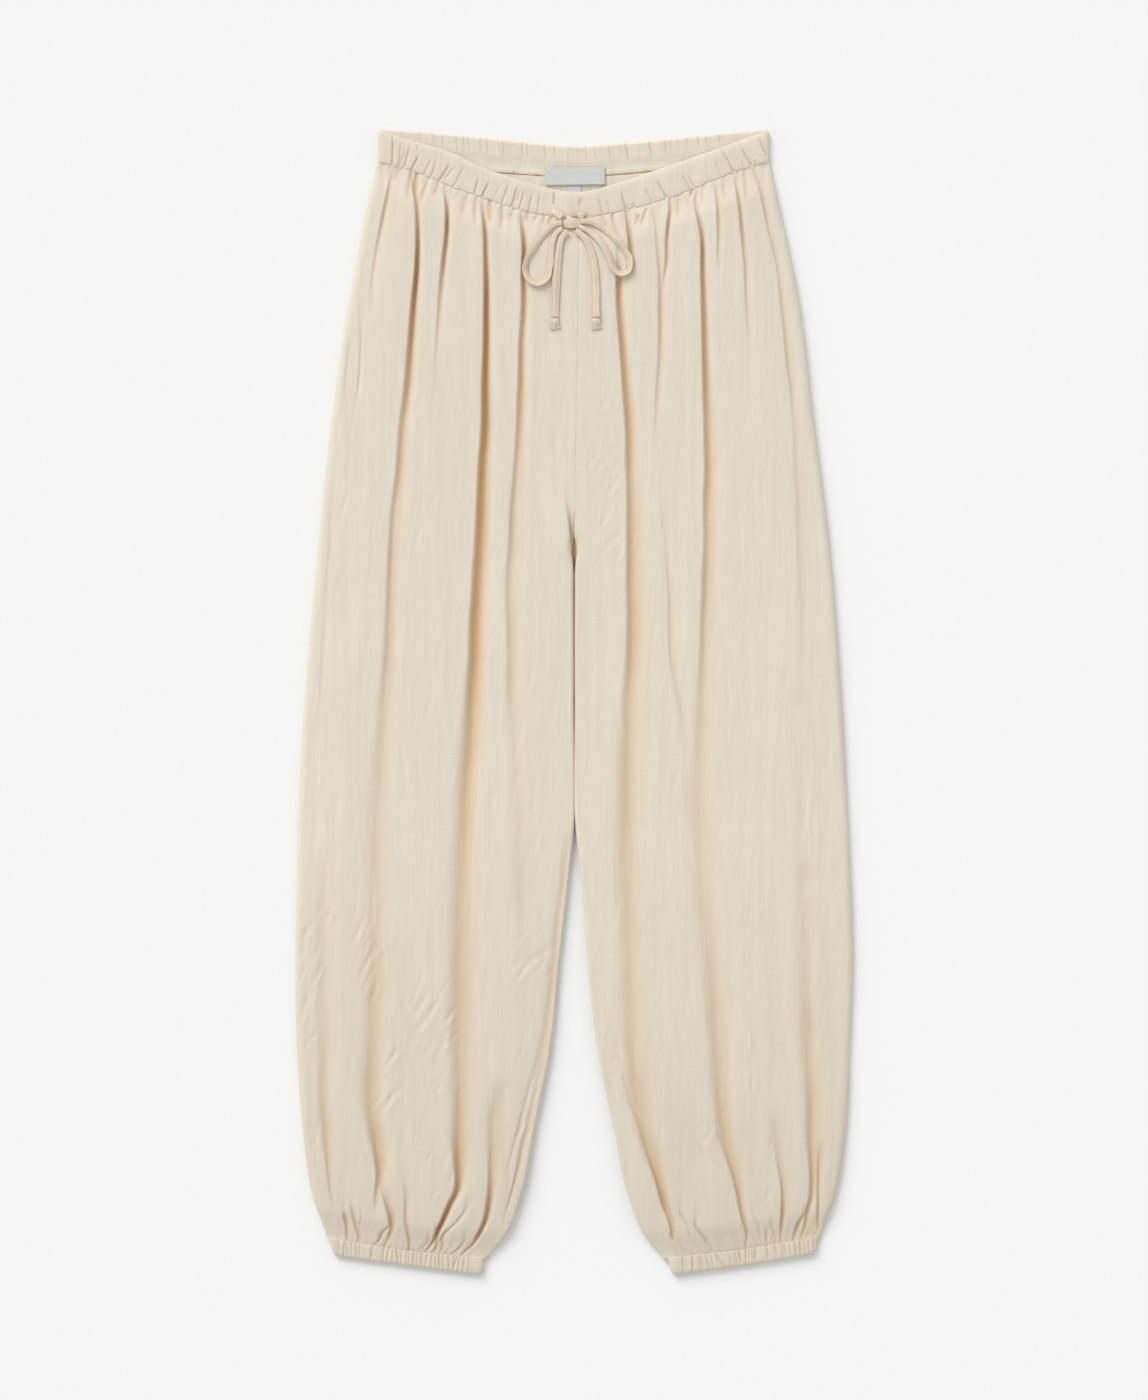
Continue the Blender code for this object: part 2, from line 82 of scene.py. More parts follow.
GATHER_DRIFT_OVER = 16.0  # a small gather runs straight down beyond this
PLEAT_DEPTH = 1.1  # a pleat's depth for each mm that its row says
PLEAT_WIDENS_OVER = 40.0
UNFOLDED = 3.2  # how far from a seam the cloth takes to leave it
CENTRE_SEAM_WIDE = 1.4  # the centre seam's groove: half its width, and its depth low down and high up
CENTRE_SEAM_LOW = 0.03
CENTRE_SEAM_HIGH = 0.16
CENTRE_SEAM_SHOWS_Y = 335.0
LOWEST_FRONT = 1.7  # the front's outer face along the deepest folds
TUCK = 1.4  # how far the front reaches in under a waistband or a cuff
TUCKED_LEVEL = 4.5  # and how high it lies there
SLIT = 2.0  # half the slit's width just under the crotch
SLIT_Y = 133.0
SLIT_TOP_Y = 144.0
SLIT_CLOSES_OVER = 26.0
SLIT_DIP = 0.6  # how far its edges turn down, over what width and to what height
SLIT_DIP_REACH = 3.6
SLIT_EDGE_LEVEL = 4.6

# How fine each piece's grid of points is
FRONT_COLUMNS = 217
FRONT_ROWS = 341
BACK_COLUMNS = 121
BACK_ROWS = 261
BAND_COLUMNS = 681
BAND_ROWS = 29
BACK_BAND_ROWS = 37
CUFF_COLUMNS = 401
CUFF_ROWS = 19

# A fold falls steeply on its narrower side and gently on its wider one
STEEP_SIDE = 0.6
STEEP_POWER = 3.2
EASY_POWER = 1.9

# The waistband and the cuffs
SEAM_WAVER = 0.6  # how far the front seam strays as its gathers pull on it
HALF_WAIST = 168.6
BAND_HALF = 168.3  # each waistband, its seams' gaps taken off
BAND_END = 168.35  # where the rounding of its ends starts from
BAND_END_ROUND = 6.0
BAND_LEVEL = 5.0  # the front band's height by its seam and edge, and its puff between them
BAND_PUFF = 0.8
BAND_EDGE_LEVEL = 3.9
BAND_EDGE_ROUND = 5.5
BAND_GATHER_DEPTH = 1.5
BAND_WALL = 0.4
THINNEST = 0.3
BACK_BAND_LEVEL = 2.3  # the back band's inside face, and how far its casing stands above that
BACK_CASING_PUFF = 0.7
BACK_BAND_EDGE_LEVEL = 1.3
BACK_BAND_HIGHEST = 3.2
BACK_GATHER_DEPTH = 1.1
OVERLOCK_FROM_X = 25.0  # the overlocked edge, darkened brown with painted shade, shows from the label out to here
OVERLOCK_TO_X = 70.0
OVERLOCK_WIDE = 0.5
CUFF_LEVEL = 5.2
CUFF_CASING_PUFF = 0.6
CUFF_EDGE_LEVEL = 3.4
CUFF_EDGE_ROUND = 4.0
CUFF_END_ROUND = 5.0
CUFF_GATHER_DEPTH = 0.75
HEM_WAVE = 0.8  # how far the hem swings out at each puff
PUFF_REACH = 2.6
BAND_CORNER = 4.0  # how round the corners of the waist's top edge are
CUFF_WIDTH = 133.0
CUFF_CORNER = 6.0  # how round the corners of its hem are
CASING_HEIGHT = 15.5  # the gathered part of the back waistband

# The tie and the labels
TIE_PINCHED = 4.6  # its width by the knot
LOOP_WIDE = 5.6
TAIL_WIDE = 6.8
LOOP_LEAN = 0.55  # how far a loop's middle is rolled onto its edge, in radians
KNOT_BASE = 7.4
LABEL_X = 1.3
LABEL_TOP_Y = 461.6
LABEL_SIZE = (51.6, 15.5)
LABEL_TILT = 0.6
LABEL_LIFT = 3.9  # where it is sewn on, and how much its free end stands off
LABEL_DROOP = 1.1
SIZE_TAB_SIZE = (11.0, 11.0)
SIZE_TAB_BELOW = 14.5  # its top, below the label's
SIZE_TAB_ASIDE = 0.5
SIZE_TAB_LIFT = 3.7
SIZE_TAB_DROOP = 0.1

# The cloth's colours: on the flat, between its slubs, and the warm, darker tone of painted shade that
# multiplies them in folds, gathers, seams and the slit
CLOTH_BASE = "#E6E0D2"
CLOTH_SHADE = "#E0D8C8"
CLOTH_PAINTED_SHADE = "#F2D0A4"

# One wide window to the upper left and a white room
SUN = 1.86
SUN_WIDTH = 34
SUN_FROM = (-0.55, 0.9, 0.62)
SKY = 0.7
FLOOR_HALF = 3000

# Outline of the two legs from cuff to waist, as in the solids, with the pleats' height (crown)
Leg = namedtuple("Leg", "y right_side right_inner left_inner left_side crown")
LEGS = (
    Leg(-478.0, -206.0, -75.0, 77.5, 206.0, 8.4),
    Leg(-462.0, -211.3, -60.5, 63.5, 211.5, 9.2),
    Leg(-427.0, -224.0, -45.2, 47.7, 224.9, 9.9),
    Leg(-367.0, -233.1, -33.1, 34.4, 234.4, 9.8),
    Leg(-298.0, -238.2, -19.4, 20.2, 237.8, 9.4),
    Leg(-221.0, -239.5, -11.6, 11.6, 240.4, 9.2),
    Leg(-144.0, -238.2, -3.0, 5.6, 238.2, 9.4),
    Leg(-118.0, -237.8, -0.2, 2.4, 236.9, 9.5),
    Leg(3.0, -231.8, 0.6, 0.6, 230.5, 9.8),
    Leg(136.0, -219.7, 0.7, 0.7, 220.2, 10.1),
    Leg(243.0, -208.6, 2.2, 2.2, 206.8, 10.2),
    Leg(347.0, -193.1, 3.9, 3.9, 193.9, 10.1),
    Leg(433.0, -176.7, 4.9, 4.9, 175.9, 9.9),
    Leg(467.0, -168.6, 5.2, 5.2, 168.6, 9.8),
)

# The waistband's four edges, at places across it, as in the solids
Waist = namedtuple("Waist", "x front_top front_seam back_top back_seam")
WAIST = (
    Waist(-168.6, 493.4, 466.0, 494.5, 466.0),
    Waist(-145.0, 486.0, 460.2, 493.0, 463.5),
    Waist(-105.0, 474.0, 444.5, 489.4, 460.0),
    Waist(-80.0, 462.3, 435.8, 487.0, 457.9),
    Waist(-40.0, 448.6, 423.2, 482.7, 455.0),
    Waist(5.0, 440.3, 418.0, 479.6, 453.2),
    Waist(42.0, 449.4, 424.0, 482.0, 455.5),
    Waist(80.0, 462.0, 434.2, 485.6, 459.0),
    Waist(122.0, 476.8, 450.3, 489.8, 462.0),
    Waist(145.0, 485.2, 459.2, 492.0, 464.0),
    Waist(168.6, 493.4, 466.0, 494.5, 466.0),
)

# Each cuff's seam and hem, at its two ends and its middle, as in the solids
Cuff = namedtuple("Cuff", "leg x_top top x_hem hem")
CUFFS = (
    Cuff(
        "right",
        (-211.6, -144.0, -77.0), (-460.3, -471.5, -477.6),
        (-207.7, -142.5, -77.8), (-476.0, -484.8, -493.0),
    ),
    Cuff(
        "left",
        (80.5, 146.0, 210.8), (-478.0, -470.5, -459.5),
        (83.9, 147.0, 209.4), (-493.0, -484.5, -474.5),
    ),
)  # fmt: skip

# How far a fold reaches on its left and on its right before it has risen half way, at each height
Reach = namedtuple("Reach", "y left right")
REACHES = (
    Reach(460, 1.8, 1.8),
    Reach(400, 2, 2.4),
    Reach(350, 2.4, 3.2),
    Reach(300, 2.8, 4),
    Reach(250, 3.5, 5),
    Reach(200, 4, 6),
    Reach(130, 5, 7),
    Reach(0, 6.5, 7.5),
    Reach(-150, 8, 9),
    Reach(-300, 6.5, 9),
    Reach(-350, 5, 8),
    Reach(-380, 4.5, 7.5),
    Reach(-410, 3, 5),
    Reach(-440, 2.4, 3),
    Reach(-475, 1.7, 1.8),
)

# The folds, with each one's width as a share of that reach. A stop is (y, x, strength), from the
# waist down; a strength of 1 is a fold that goes right down to the back.
Fold = namedtuple("Fold", "wide stops")
FOLDS = {
    "right": (
        # From its side seam inwards
        Fold(1, (
            (457, -156, 0.3), (442, -159, 0.4), (416, -164, 0.4), (394, -168, 0.3), (365, -172, 0.2),
            (327, -175, 0),
        )),
        Fold(0.4, ((335, -183, 0.1), (302, -183.5, 0.2), (275, -185.5, 0.2), (250, -188.5, 0))),
        Fold(0.4, ((305, -193, 0.1), (262, -197, 0.1))),
        Fold(0.3, ((200, -205, 0), (93, -213, 0.1), (24, -216, 0.1), (-50, -220, 0))),
        Fold(0.9, (
            (459, -140, 0.3), (446, -137, 0.5), (430, -135, 0.5), (414, -135, 0.6), (385, -135, 0.9),
            (340, -138, 0.9), (310, -140.5, 0.8), (276, -143, 0.7), (233, -147, 0.5), (196, -150, 0.5),
            (155, -154, 0.4), (100, -156, 0.4), (50, -158, 0.4), (0, -160.5, 0.3), (-50, -165, 0.3),
            (-100, -167, 0.3), (-200, -168, 0.3), (-250, -170, 0.4), (-300, -172.5, 0.4), (-330, -174, 0.5),
            (-356, -173, 0.5), (-382, -169, 0.6), (-402, -167.5, 0.6), (-430, -170, 0.2), (-442, -170, 0),
        )),
        Fold(1, (
            (-410, -166, 0), (-428, -161, 0.4), (-445, -157, 0.6), (-450, -156.5, 0.6), (-461, -159, 0.5),
            (-469, -162.5, 0.3),
        )),
        Fold(0.7, ((-449, -158, 0.2), (-456, -165, 0.4), (-463, -168, 0.5), (-467, -172, 0.4))),
        Fold(0.9, (
            (442, -110.5, 0.3), (429, -109, 0.6), (414, -109, 0.8), (385, -111, 0.7), (350, -114, 0.4),
            (313, -116, 0.2), (250, -119, 0),
        )),
        Fold(0.9, (
            (435, -79.5, 0.3), (414, -77, 0.6), (379, -75.5, 0.8), (350, -75, 1), (299, -76, 1),
            (241, -77, 1), (200, -79, 0.9), (150, -81, 0.9), (100, -83, 0.9), (50, -84.5, 0.9),
            (0, -86.5, 0.8), (-50, -88.5, 0.7), (-100, -91, 0.6), (-150, -93, 0.5), (-200, -95, 0.5),
            (-250, -96.5, 0.5), (-344, -97, 0.5), (-373, -98, 0.6), (-399, -100, 0.8), (-422, -102.5, 0.8),
            (-430, -106.5, 0.8), (-442, -111.5, 0.9), (-456, -118, 0.9), (-465, -122, 0.7),
            (-474, -129, 0.4),
        )),
        Fold(0.8, ((-459, -118, 0.4), (-466, -117.5, 0.6), (-471, -119.5, 0.6), (-475, -124, 0.4))),
        Fold(0.8, (
            (-433, -91.5, 0.1), (-443, -97.5, 0.2), (-450, -104.5, 0.2), (-456, -111.5, 0.3),
            (-461, -114, 0.4), (-468, -113, 0.4), (-475, -115, 0.3),
        )),
        Fold(0.9, (
            (431, -46, 0.2), (414, -44.5, 0.5), (399, -43, 0.7), (365, -43, 0.7), (327, -44, 0.6),
            (276, -45, 0.6), (227, -46.5, 0.5), (200, -48.5, 0.4), (150, -52, 0.4), (100, -54, 0.3),
            (50, -52, 0.3), (0, -51, 0.3), (-30, -48, 0.2), (-70, -46, 0.2), (-120, -44, 0.2),
            (-170, -43, 0.2), (-200, -42, 0),
        )),
        Fold(0.9, (
            (-320, -64, 0), (-336, -65, 0.2), (-356, -68.5, 0.3), (-384, -69.5, 0.4), (-413, -71, 0.5),
            (-430, -73, 0.7), (-445, -76, 0.8), (-458, -82, 0.8), (-466, -86.5, 0.7), (-472, -92.5, 0.6),
            (-476.5, -97, 0.5),
        )),
        Fold(0.7, (
            (-130, -212, 0.1), (-162, -214, 0.2), (-188, -215.5, 0.2), (-252, -216, 0.2),
            (-301, -215.5, 0.3), (-350, -214, 0.4), (-379, -212, 0.4), (-402, -210, 0.3),
            (-425, -207.5, 0.2), (-440, -203, 0),
        )),
        Fold(0.4, (
            (-120, -4, 0.2), (-150, -7, 0.3), (-200, -14, 0.3), (-253, -19, 0.3), (-301, -26, 0.2),
            (-344, -34, 0.2), (-379, -43, 0.3), (-402, -48, 0.3), (-430, -56, 0.2), (-442, -60, 0.1),
        )),
        Fold(0.25, ((-296, -29, 0.1), (-340, -40, 0.2), (-373, -49, 0.2), (-399, -56, 0.1))),
        # The pull of the crotch
        Fold(0.6, ((178, -5, 0.1), (168, -4, 0.2), (155, -2, 0.4), (144, -1, 0.5), (135, 0, 0.5))),
        # Short creases above its cuff
        Fold(0.8, ((-437, -198, 0.1), (-443.5, -196.5, 0.5), (-451, -195, 0.6), (-459, -194.5, 0.6))),
        Fold(0.8, (
            (-432, -191, 0.1), (-438, -189.5, 0.3), (-445.5, -188, 0.4), (-453, -186.5, 0.5),
            (-459, -185, 0.6), (-465, -186.5, 0.5),
        )),
        Fold(0.6, ((-440, -182.5, 0.1), (-450, -184, 0.2), (-458, -185, 0.1))),
        Fold(0.8, (
            (-413, -145, 0.1), (-425, -143.5, 0.2), (-444, -144, 0.3), (-457, -142.5, 0.4),
            (-466, -141.5, 0.6), (-470, -142, 0.6), (-474, -145, 0.5), (-476, -149, 0.4),
        )),
        Fold(0.7, ((-463, -93.5, 0.2), (-470, -99.5, 0.5), (-475, -105.5, 0.5))),
        Fold(0.7, ((-465, -125, 0.3), (-470, -134, 0.3), (-473, -140, 0.3))),
    ),
    "left": (
        # From the centre seam outwards
        Fold(0.9, ((431, 46, 0.2), (424, 46, 0.4), (408, 47.5, 0.6), (379, 48.5, 0.5), (366, 46, 0.1))),
        Fold(1, (
            (384, 38, 0.2), (365, 38, 0.7), (339, 39, 0.7), (313, 41.5, 0.7), (276, 44.5, 0.7),
            (241, 47, 0.7), (200, 49, 0.6), (150, 50, 0.6), (100, 51, 0.6), (50, 51, 0.6), (0, 50, 0.5),
            (-50, 48, 0.5), (-100, 47, 0.5), (-150, 47, 0.4), (-200, 49, 0.4), (-250, 50, 0.4),
            (-287, 51, 0.4), (-316, 53.5, 0.4), (-344, 56.5, 0.5), (-367, 61, 0.5), (-390, 67, 0.6),
            (-413, 73, 0.7), (-434, 78.5, 0.7), (-445, 83, 0.5), (-454, 85, 0.5), (-462, 86.5, 0.4),
            (-464.5, 89, 0.2),
        )),
        Fold(0.9, (
            (428, 69.5, 0.1), (408, 71.5, 0.2), (395, 72.5, 0.2), (365, 75, 0.3), (339, 75.5, 0.4),
            (299, 75, 0.3), (256, 72.5, 0.2), (213, 71, 0),
        )),
        Fold(0.8, (
            (436, 81.5, 0.3), (427, 83, 0.5), (414, 81.5, 0.6), (398, 80, 0.5), (379, 79.5, 0.4),
            (365, 78, 0.2),
        )),
        Fold(0.5, (
            (184, 75, 0), (100, 83, 0.2), (50, 84, 0.2), (0, 92, 0.2), (-25, 97, 0.1), (-91, 101, 0.1),
            (-119, 106, 0),
        )),
        Fold(0.9, (
            (441, 107.5, 0.3), (435, 105.5, 0.4), (426, 106, 0.4), (415, 107.5, 0.5), (404, 109.5, 0.6),
            (395, 110.5, 0.7), (365, 111.5, 0.7), (327, 112.5, 0.7), (276, 114, 0.7), (227, 115, 0.6),
            (184, 115.5, 0.6), (141, 115.5, 0.5), (100, 114.5, 0.5), (50, 114, 0.4), (0, 113, 0.3),
            (-50, 111.5, 0.3), (-100, 111, 0.3), (-150, 112, 0.3), (-200, 117, 0.3), (-250, 121.5, 0.4),
            (-300, 124.5, 0.4), (-350, 128.5, 0.5), (-379, 131.5, 0.5), (-399, 137, 0.5), (-419, 142, 0.5),
            (-436, 145, 0.5), (-447, 147.5, 0.5), (-458, 150, 0.5), (-469, 149, 0.4),
        )),
        Fold(0.9, ((450, 121, 0.3), (435, 123, 0.4), (418, 124.5, 0.4), (385, 125.5, 0.2), (365, 127, 0))),
        Fold(0.9, (
            (457, 138, 0.3), (442, 141, 0.4), (426, 143, 0.5), (409, 144.5, 0.5), (395, 146, 0.4),
            (371, 148, 0.3), (339, 150, 0.2), (316, 151.5, 0.1), (270, 152, 0),
        )),
        Fold(1, (
            (461, 154, 0.3), (450, 158.5, 0.4), (435, 162.5, 0.4), (417, 166.5, 0.4), (404, 169.5, 0.3),
            (375, 176, 0.3), (356, 179, 0.3), (322, 183, 0.3), (284, 186.5, 0.3), (241, 191.5, 0.2),
            (184, 195, 0.2), (100, 198, 0.2), (50, 199, 0.1), (0, 198, 0.1),
        )),
        Fold(0.8, ((0, 191, 0.1), (-50, 193, 0.1), (-100, 197, 0.1), (-150, 200, 0.1))),
        Fold(0.8, (
            (-150, 200, 0.1), (-200, 202, 0.2), (-250, 202, 0.3), (-287, 203, 0.4), (-316, 204.5, 0.4),
            (-350, 205.5, 0.5), (-379, 206, 0.5), (-407, 205.5, 0.5), (-425, 204.5, 0.5),
            (-438, 201.5, 0.5), (-449, 200, 0.5), (-458, 197.5, 0.4),
        )),
        Fold(0.5, (
            (-375, 212.5, 0), (-390, 212, 0.3), (-425, 210.5, 0.4), (-441, 209.5, 0.4), (-456, 208, 0.4),
            (-459, 205.5, 0.3),
        )),
        Fold(0.8, (
            (-345, 172, 0), (-367, 174.5, 0.2), (-396, 177.5, 0.3), (-419, 180, 0.4), (-440, 179.5, 0.5),
            (-450, 178.5, 0.5), (-462, 178.5, 0.4),
        )),
        Fold(0.25, ((-296, 37, 0.1), (-339, 48, 0.2), (-364, 57, 0.2), (-402, 68, 0.1))),
        # Short creases above its cuff
        Fold(0.5, ((-436, 92, 0.1), (-441, 93, 0.2), (-448, 97, 0.2), (-454, 100, 0.1))),
        Fold(0.7, (
            (-450, 104.5, 0.2), (-456.5, 109, 0.3), (-463.5, 114, 0.4), (-470, 118, 0.4), (-476, 119, 0.3),
        )),
        Fold(0.6, ((-440, 153.5, 0.1), (-451.5, 158.5, 0.2), (-462, 161, 0.2))),
        Fold(0.8, ((-461, 165.5, 0.4), (-469, 166.5, 0.4))),
        Fold(0.8, ((-452, 170.5, 0.2), (-458, 173.5, 0.4), (-463.5, 173.5, 0.5), (-468, 172.5, 0.4))),
        Fold(0.8, ((-439.5, 199, 0.2), (-447, 194, 0.5), (-456.5, 190.5, 0.6), (-462.5, 189, 0.5))),
    ),
}  # fmt: skip

# Small gathers along a seam or an edge: where each is on it, how far it leans sideways over its
# length, that length, how deep it is, and how far off the seam it starts
Gather = namedtuple("Gather", "x lean length deep start", defaults=(0,))
FRONT_BAND_GATHERS = (
    Gather(-156, 0.5, 30, 0.9), Gather(-150.5, 2.5, 24, 0.6), Gather(-150, 5.5, 16, 0.5),
    Gather(-146, 5.5, 22, 0.7), Gather(-140, 8, 18, 1), Gather(-134, 0, 6, 0.5, 19),
    Gather(-129, 7, 18, 0.6), Gather(-123, 5.5, 19, 0.6), Gather(-116, 10.5, 21, 0.9),
    Gather(-110, 8, 14, 0.6, 5), Gather(-104, 12, 24, 0.5), Gather(-85.5, 4.5, 17, 0.8),
    Gather(-79, 6.5, 16, 1), Gather(-70, 8, 17, 0.3), Gather(-62, 6.5, 21, 0.6),
    Gather(-53.5, 6.5, 22, 0.9), Gather(-51.5, 6.5, 20, 0.4), Gather(-46.5, 5, 20, 0.7),
    Gather(-39, 5, 20, 0.6), Gather(-31, 2.5, 19, 0.6), Gather(-17, 0.5, 11, 0.9, 11),
    Gather(6, -0.5, 8, 0.9, 10), Gather(8, 0, 6, 0.5, 12), Gather(25, -3.5, 16, 0.6),
    Gather(32, -4.5, 13, 0.6), Gather(45.5, -4.5, 18, 0.9), Gather(52.5, -1.5, 5, 0.6),
    Gather(67.5, -6.5, 15, 0.5), Gather(80.5, -9, 19, 0.9), Gather(100.5, -8, 16, 0.6),
    Gather(105, -7.5, 14, 0.5), Gather(127.5, -6, 18, 0.5), Gather(138.5, -10.5, 22, 0.9),
    Gather(147, -2.5, 9, 0.5), Gather(154, -10.5, 21, 0.9), Gather(155, -4, 12, 0.3),
    Gather(157.5, -1, 5, 0.7), Gather(166, -6.5, 18, 0.8, 6),
)  # fmt: skip
# Down from the back waistband's folded top edge, on the inside that shows
BACK_BAND_GATHERS = (
    Gather(-132, 1, 9, 0.5), Gather(-121, 1.5, 11, 0.6), Gather(-112.5, 1, 13, 0.5),
    Gather(-101.5, 2, 15, 0.6), Gather(-94.5, 1.5, 14, 0.5), Gather(-90.5, 2, 15, 0.6),
    Gather(-80, 1, 14, 0.6), Gather(-74.5, 0.5, 15, 0.7), Gather(-65, 2.5, 14, 0.5),
    Gather(-60.5, 1, 15, 0.5), Gather(-44, 1, 15, 0.6), Gather(-40, 1, 15, 0.6), Gather(-25, 1.5, 15, 0.5),
    Gather(-15.5, 0, 14, 0.5), Gather(-4, 0, 13, 0.3), Gather(4, 0, 13, 0.3), Gather(10.5, 1.5, 14, 0.5),
    Gather(17.5, 3, 15, 0.6), Gather(30.5, 2.5, 15, 0.6), Gather(41, 2, 14, 0.4), Gather(45, 2.5, 16, 0.9),
    Gather(65, 3.5, 15, 0.9), Gather(79, 1.5, 15, 0.7), Gather(84, 1, 13, 0.4), Gather(90, 1, 12, 0.4),
    Gather(97.5, 2.5, 11, 0.6), Gather(106.5, 3, 12, 0.9), Gather(114, 1.5, 8, 0.7), Gather(125, 2, 9, 0.9),
    Gather(-51.5, 0, 5, 0.9, 27), Gather(-32.5, 0, 9, 0.9, 28), Gather(36.5, 0, 6, 0.9, 28),
    Gather(46.5, 0, 3, 0.9, 28),
)  # fmt: skip
# Down from the front waistband's seam
PLEATS = {
    "right": (
        Gather(-150, -3, 13, 0.7), Gather(-140, -3, 30, 1.2), Gather(-135, -1, 20, 1.4),
        Gather(-124.5, -8, 30, 1), Gather(-116.5, -2.5, 16, 1.2), Gather(-98.5, -6.5, 14, 0.4),
        Gather(-91.5, -6, 28, 0.9), Gather(-84.5, 0.5, 30, 1), Gather(-72, 1, 24, 1.4),
        Gather(-62, 0, 24, 1.3), Gather(-51.5, 0, 4, 1.2), Gather(-53.5, 0, 6, 0.9, 6),
        Gather(-38.5, -1.5, 10, 1), Gather(-31, -2.5, 8, 1), Gather(-26, 0.5, 10, 1),
        Gather(-19, 0, 4, 1.4), Gather(-20, -2.5, 6, 0.9, 4),
    ),
    "left": (
        Gather(0.5, 0, 6, 0.9), Gather(25, 4, 14, 1), Gather(33, 6, 28, 1.3), Gather(55.5, -1.5, 8, 1.3, 8),
        Gather(62.5, -5, 15, 1.3, 4), Gather(68.5, 3, 16, 0.5, 8), Gather(89.5, 1.5, 20, 1.2),
        Gather(95.5, 5.5, 21, 0.4), Gather(101, 1.5, 6, 1.2), Gather(112, -2, 21, 0.6),
        Gather(129, 1, 24, 0.8), Gather(147.5, 1.5, 30, 0.9),
    ),
}  # fmt: skip
# Down from each cuff's seam
CUFF_GATHERS = {
    "right": (
        Gather(-202, 0, 16, 0.4), Gather(-196.5, -2, 16, 0.9), Gather(-194.5, 0, 13, 0.5),
        Gather(-191, 0, 13, 0.4), Gather(-187, 0, 14, 0.6), Gather(-184, 0, 13, 0.3),
        Gather(-173, -2, 15, 0.9), Gather(-163, -1.5, 15, 0.7), Gather(-159, -2.5, 15, 0.7),
        Gather(-155.5, 0, 13, 0.6), Gather(-152, 1, 14, 0.9), Gather(-148, 0, 12, 0.5),
        Gather(-143.5, 0, 13, 0.5), Gather(-141.5, 0, 13, 0.5), Gather(-137, -1, 14, 0.6),
        Gather(-134.5, 0, 13, 0.5), Gather(-131.5, 0.5, 13, 0.5), Gather(-129.5, -1, 14, 0.5),
        Gather(-125.5, -2, 13, 0.5), Gather(-121.5, -1, 14, 0.6), Gather(-118.5, 0, 13, 0.4),
        Gather(-115, -1, 14, 0.9), Gather(-112, 0, 14, 0.6), Gather(-108, 1.5, 15, 0.9),
        Gather(-102.5, -1.5, 15, 0.6), Gather(-100, -4, 15, 0.9), Gather(-97.5, -2, 15, 0.6),
        Gather(-94, -1, 15, 0.5), Gather(-89.5, -1, 15, 0.5),
    ),
    "left": (
        Gather(94, 1.5, 16, 0.6), Gather(97, 0.5, 13, 0.3), Gather(102.5, 0.5, 16, 1),
        Gather(107.5, 4, 15, 0.6), Gather(109.5, 3, 15, 0.5), Gather(113, 5.5, 15, 0.9),
        Gather(118, 3, 14, 0.6), Gather(121.5, 10.5, 16, 1), Gather(133, 3.5, 13, 0.6),
        Gather(138, 4, 13, 0.6), Gather(141.5, 4.5, 13, 0.6), Gather(143, 1, 12, 0.9),
        Gather(148, 1, 13, 0.6), Gather(151, 1, 13, 0.5), Gather(154, 1, 13, 0.4),
        Gather(156.5, 0.5, 15, 0.9), Gather(166, 2.5, 14, 1), Gather(171, 5.5, 12, 0.5),
        Gather(173.5, 2, 12, 0.4), Gather(178.5, 2.5, 14, 0.6), Gather(181, 2.5, 13, 0.6),
        Gather(185.5, 2.5, 14, 0.5), Gather(190.5, 1.5, 14, 0.9), Gather(195, 1.5, 14, 0.9),
        Gather(198, 2, 13, 0.5), Gather(202, 1.5, 14, 0.6), Gather(207, 0.5, 14, 0.7),
        Gather(209.5, 0.5, 12, 0.4),
    ),
}  # fmt: skip

# Single wrinkles from one end to the other: troughs, or ridges where the depth is below zero
Wrinkle = namedtuple("Wrinkle", "x y to_x to_y deep")
WRINKLES = {
    "right": (
        Wrinkle(-223, -187, -233, -212, 0.9), Wrinkle(-226, -245, -233, -261, 0.6),
        Wrinkle(-222, -284, -232, -297, 0.6), Wrinkle(-168, -219, -180, -236, 0.8),
        Wrinkle(-150, -198, -165, -213, -0.5), Wrinkle(-165, -213, -182, -237, -0.6),
        Wrinkle(-103, -229, -114, -236, -0.4), Wrinkle(-114, -255, -131, -275, 0.6),
        Wrinkle(-109, -267, -114, -279, -0.4), Wrinkle(-110, -289, -122, -319, 0.8),
        Wrinkle(-130, -306, -141, -316, 0.5), Wrinkle(-153, -292, -165, -316, -0.5),
        Wrinkle(-150, -325, -165, -344, -0.5), Wrinkle(-155, -333, -166, -353, 0.6),
        Wrinkle(-19, -209, -33, -233, 0.9), Wrinkle(-55, -323, -66, -333, -0.4),
        Wrinkle(-217, -353, -224, -382, 0.7), Wrinkle(-177, -377, -188, -397, 0.5),
        Wrinkle(-88, -424, -94, -439, 0.3), Wrinkle(-39, -4, -47, -33, 0.5),
    ),
    "left": (
        Wrinkle(39, -168, 35, -190, 0.6), Wrinkle(37, -223, 35, -238, 0.6),
        Wrinkle(41, -312, 34, -324, 0.9), Wrinkle(67, -284, 59, -293, -0.7),
        Wrinkle(50, -303, 47, -317, -0.5), Wrinkle(70, -152, 76, -250, 0.3),
        Wrinkle(113, -254, 114, -270, -0.4), Wrinkle(76, -365, 72, -381, 0.5),
        Wrinkle(121, -364, 111, -380, 0.7), Wrinkle(148, -373, 158, -388, 0.5),
        Wrinkle(111, -457, 118, -477, 0.6), Wrinkle(118, -471, 128, -480, 0.6),
        Wrinkle(144, -298, 149, -323, 0.4), Wrinkle(181, 38, 171, -5, -0.4), Wrinkle(34, 10, 44, -50, 0.6),
        Wrinkle(128, -460, 136, -459, 0.5), Wrinkle(125, -475, 135, -476, 0.5),
    ),
}  # fmt: skip

